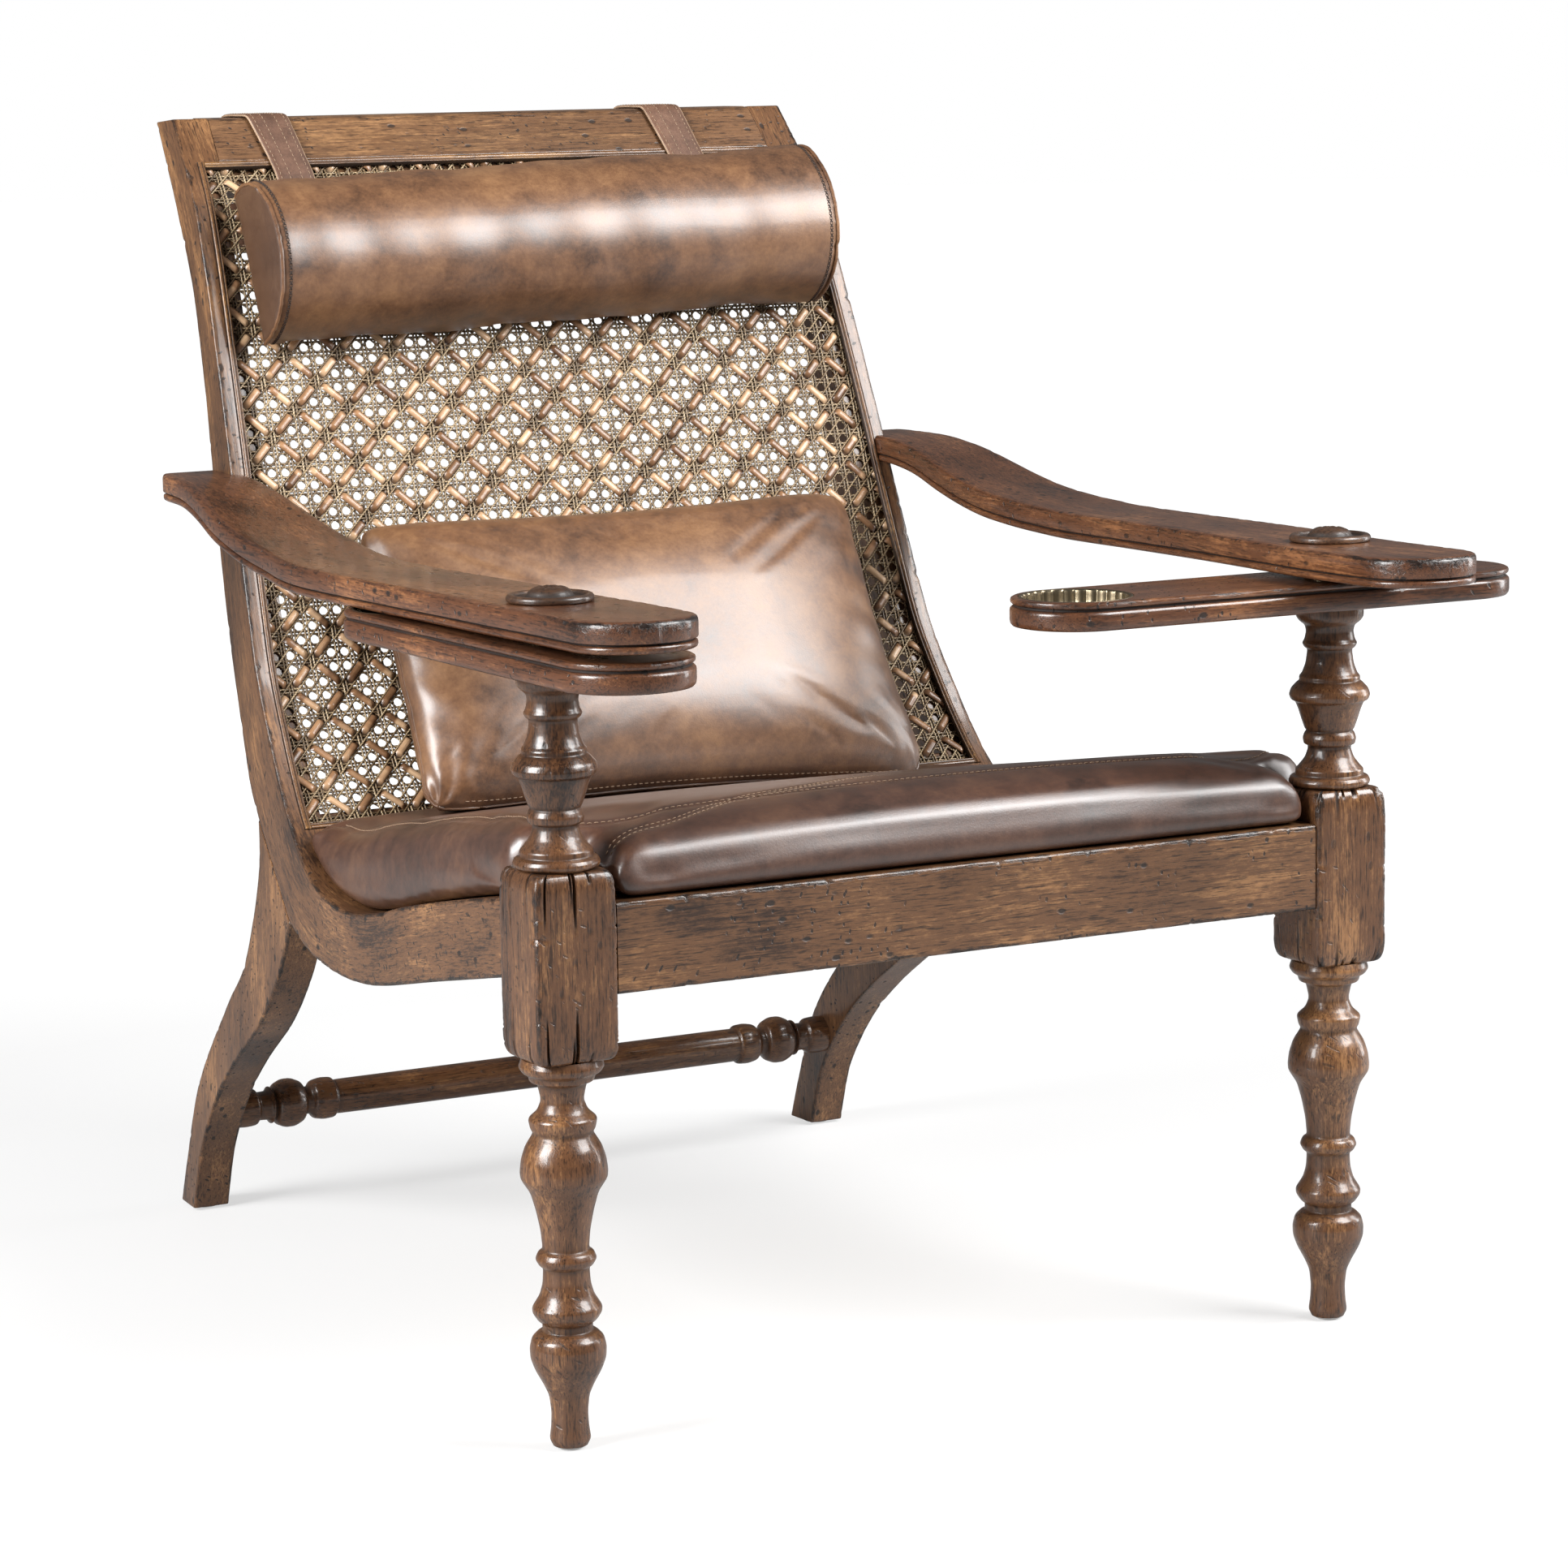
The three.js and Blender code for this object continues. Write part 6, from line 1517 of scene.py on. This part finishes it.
def weight():
    """The weighted tube that hangs behind the crest: a long rounded section drawn across, its ends closing in, with a
    stitched flat seam along its foot."""
    middle_y, top = REACH + GAP + 1.4, CREST - 76 - GAP
    half = 391 / 2 + 34
    angle = turns(40)
    flat = np.where(np.sin(angle) > 0, -12.0, 12.0 - 46.0)
    across = np.linspace(-1, 1, 90)
    shrink = np.clip((1 - np.abs(across)) / 0.03, 0, 1) ** 0.5 * 0.12 + 0.88
    pucker = 1 + 0.02 * drift(across * half, 221, 60)
    y = middle_y + 11.6 * np.cos(angle)[None, :] * (shrink * pucker)[:, None]
    z = top - 23 + (flat + 11.6 * np.sin(angle) + 23)[None, :] * shrink[:, None]
    x = np.broadcast_to(-11 + across[:, None] * half, y.shape)
    points, faces = skin(np.stack([x, y, z], -1))
    make("weight_tube", points, faces, STRAP_HIDE, "headrest", ("headrest_counterweight",), 60,
         {"shade": np.zeros(len(points))})
    share = np.linspace(-0.96, 0.96, 60)
    for row, way in enumerate((1.0, -1.0)):
        line = xyz(-11 + share * half, middle_y + way * 11.7, top - 38.0)
        stitches(f"weight_stitches_{row}", line, np.repeat([(0, way, 0)], 60, 0), PALE_THREAD, "headrest",
                 5.5, 3.6, 0.8)


def glides():
    """Foot pads: low turned discs under each leg, with a soft outer corner."""
    finish = pad_clear()
    foot_reach = REACH * (0.9027 + 0.9457) / 2
    spots = [(f"{hand}_front_glide", side * LEG_AXIS, 0.0, 10.0) for hand, side in SIDES]
    spots += [(f"{hand}_back_glide", side * (face_at(foot_reach, 0) - BOARD / 2), foot_reach, 12.0)
              for hand, side in SIDES]
    angles = turns(40)
    for node, x, y, radius in spots:
        profile = np.array([(radius - 0.8, 0), (radius, 0.5), (radius, 1.6), (radius - 0.6, 2.2), (1, 2.2)])
        points, faces = skin(turned_rings(profile, angles, (x, y)))
        make(node.replace("glide", "foot_pad"), points, faces, finish, "chair", (node,), 40)


def keep_solids():
    """Finishes for the solids that stay as they are: cleats, the seat board and the pivot pins."""
    board = wood("seat_plywood", plain(150, 118, 80), plain(186, 152, 108), plain(210, 180, 136),
                 plain(120, 88, 56), 0.6, 0.2, lambda n: n.place())
    cleat = wood("cleat_walnut", plain(66, 42, 28), plain(104, 70, 46), plain(140, 100, 66), plain(30, 18, 13),
                 0.5, 0.4,
                 lambda n: n.stretched(n.add("ShaderNodeVectorRotate", {"rotation_type": "Z_AXIS"}, {
                     "Vector": n.place(), "Angle": math.pi / 2}).outputs[0], (1, 1, 1)))
    chosen = {"seat_board": board, "left_seat_cleat": cleat, "right_seat_cleat": cleat,
              "left_pivot_pin": STEEL, "right_pivot_pin": STEEL}
    for node, finish in chosen.items():
        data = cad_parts[node].data
        data.materials.clear()
        data.materials.append(finish)


# Room, light and camera

SKY_LIGHT, SKY_IN_GLOSS = 0.13, 0.06


def floor_and_light():
    """A wide pale floor and white surroundings for the camera, and three soft lamps: a large one up to the left, a
    large one up to the right in front, and a narrow weak one at the right."""
    n = Nodes("studio_floor")
    speck = n.noise(n.place(), 3.0, 3.0)
    ray = n.add("ShaderNodeLightPath")
    seen = (n.value(ray.outputs["Is Camera Ray"]) + n.value(ray.outputs["Is Glossy Ray"]) * 0.12
            + n.value(ray.outputs["Is Transmission Ray"])).held()
    lit = n.mix(speck * 0.1, (0.6, 0.6, 0.6), (0.57, 0.57, 0.57))
    in_sight = (n.value(ray.outputs["Is Camera Ray"]) + n.value(ray.outputs["Is Glossy Ray"])).held()
    base = n.mix(in_sight, lit, (0.3, 0.3, 0.3))
    spread = n.add("ShaderNodeVectorMath", {"operation": "LENGTH"}, {0: n.place()}).outputs["Value"]
    far = n.value(spread).between(1.2, 3.0)
    surface = n.add("ShaderNodeBsdfPrincipled", None, {
        "Base Color": base, "Roughness": 0.6, "Emission Color": (1, 1, 1), "Emission Strength": 0.0})
    glow = n.add("ShaderNodeEmission", None, {"Color": (1, 1, 1), "Strength": seen * (far * 0.38 + 0.62)})
    both = n.add("ShaderNodeAddShader", None, {0: surface.outputs[0], 1: glow.outputs[0]})
    n.add("ShaderNodeOutputMaterial", None, {"Surface": both.outputs[0]})
    mesh = bpy.data.meshes.new("studio_floor")
    turn = turns(64)
    ring = np.stack([30 * np.cos(turn), 30 * np.sin(turn), np.zeros(64)], -1)
    mesh.from_pydata([(0, 0, 0), *ring.tolist()], [], [(0, k + 1, (k + 1) % 64 + 1) for k in range(64)])
    mesh.materials.append(n.finish)
    linked("studio_floor", mesh)
    n = Nodes("studio", "worlds")
    ray = n.add("ShaderNodeLightPath")
    seen = n.value(ray.outputs["Is Camera Ray"]).most(n.value(ray.outputs["Is Transmission Ray"]))
    strength = seen.most(n.value(ray.outputs["Is Glossy Ray"]) * SKY_IN_GLOSS).most(SKY_LIGHT)
    backdrop = n.add("ShaderNodeBackground", None, {"Color": (1, 1, 1), "Strength": strength})
    n.add("ShaderNodeOutputWorld", None, {0: backdrop.outputs[0]})
    bpy.context.scene.world = n.finish
    for name, place, aim, size, power in (
            ("left_window", (-3.1, -0.5, 2.0), (0, 0, 0.5), (1.4, 1.8), 210),
            ("right_window", (1.7, -1.8, 2.5), (0, 0, 0.6), (1.7, 1.8), 175),
            ("right_strip", (3.0, -0.4, 1.2), (0, 0, 0.5), (0.7, 2.0), 40)):
        lamp = bpy.data.lights.new(name, "AREA")
        lamp.shape = "RECTANGLE"
        lamp.size, lamp.size_y = size
        lamp.energy = power
        holder = linked(name, lamp)
        holder.location = place
        holder.rotation_euler = (Vector(aim) - Vector(place)).to_track_quat("-Z", "Y").to_euler()


def camera():
    """The photograph's standpoint: 2 m off to the left, looking across and a little down, turned by under a degree."""
    azimuth, pitch, roll = -0.4842, 0.15999, -0.0163
    forward = Vector((-math.sin(azimuth) * math.cos(pitch), math.cos(azimuth) * math.cos(pitch), -math.sin(pitch)))
    level = Vector((math.cos(azimuth), math.sin(azimuth), 0))
    upright = level.cross(forward)
    right = math.cos(roll) * level + math.sin(roll) * upright
    up = -math.sin(roll) * level + math.cos(roll) * upright
    lens = bpy.data.cameras.new("studio_camera")
    lens.lens = 105.18
    lens.sensor_width = 36
    lens.clip_end = 100
    holder = linked("studio_camera", lens)
    holder.matrix_world = Matrix((
        (right.x, up.x, -forward.x, -1.78827), (right.y, up.y, -forward.y, -3.38161),
        (right.z, up.z, -forward.z, 1.03439), (0, 0, 0, 1)))
    bpy.context.scene.camera = holder
    bpy.context.scene.view_settings.view_transform = "Standard"


camera()
floor_and_light()
for hand, side in SIDES:
    side_frame(hand, side)
    back_leg(hand, side)
    front_leg(hand, side)
    armrest(hand, side)
    leg_rest(hand, side)
    pivot_parts(hand, side)
    strap(hand, side)
stretcher()
rails()
cane_beads()
cane()
seat_cushion()
pillow()
bolster()
weight()
glides()
keep_solids()
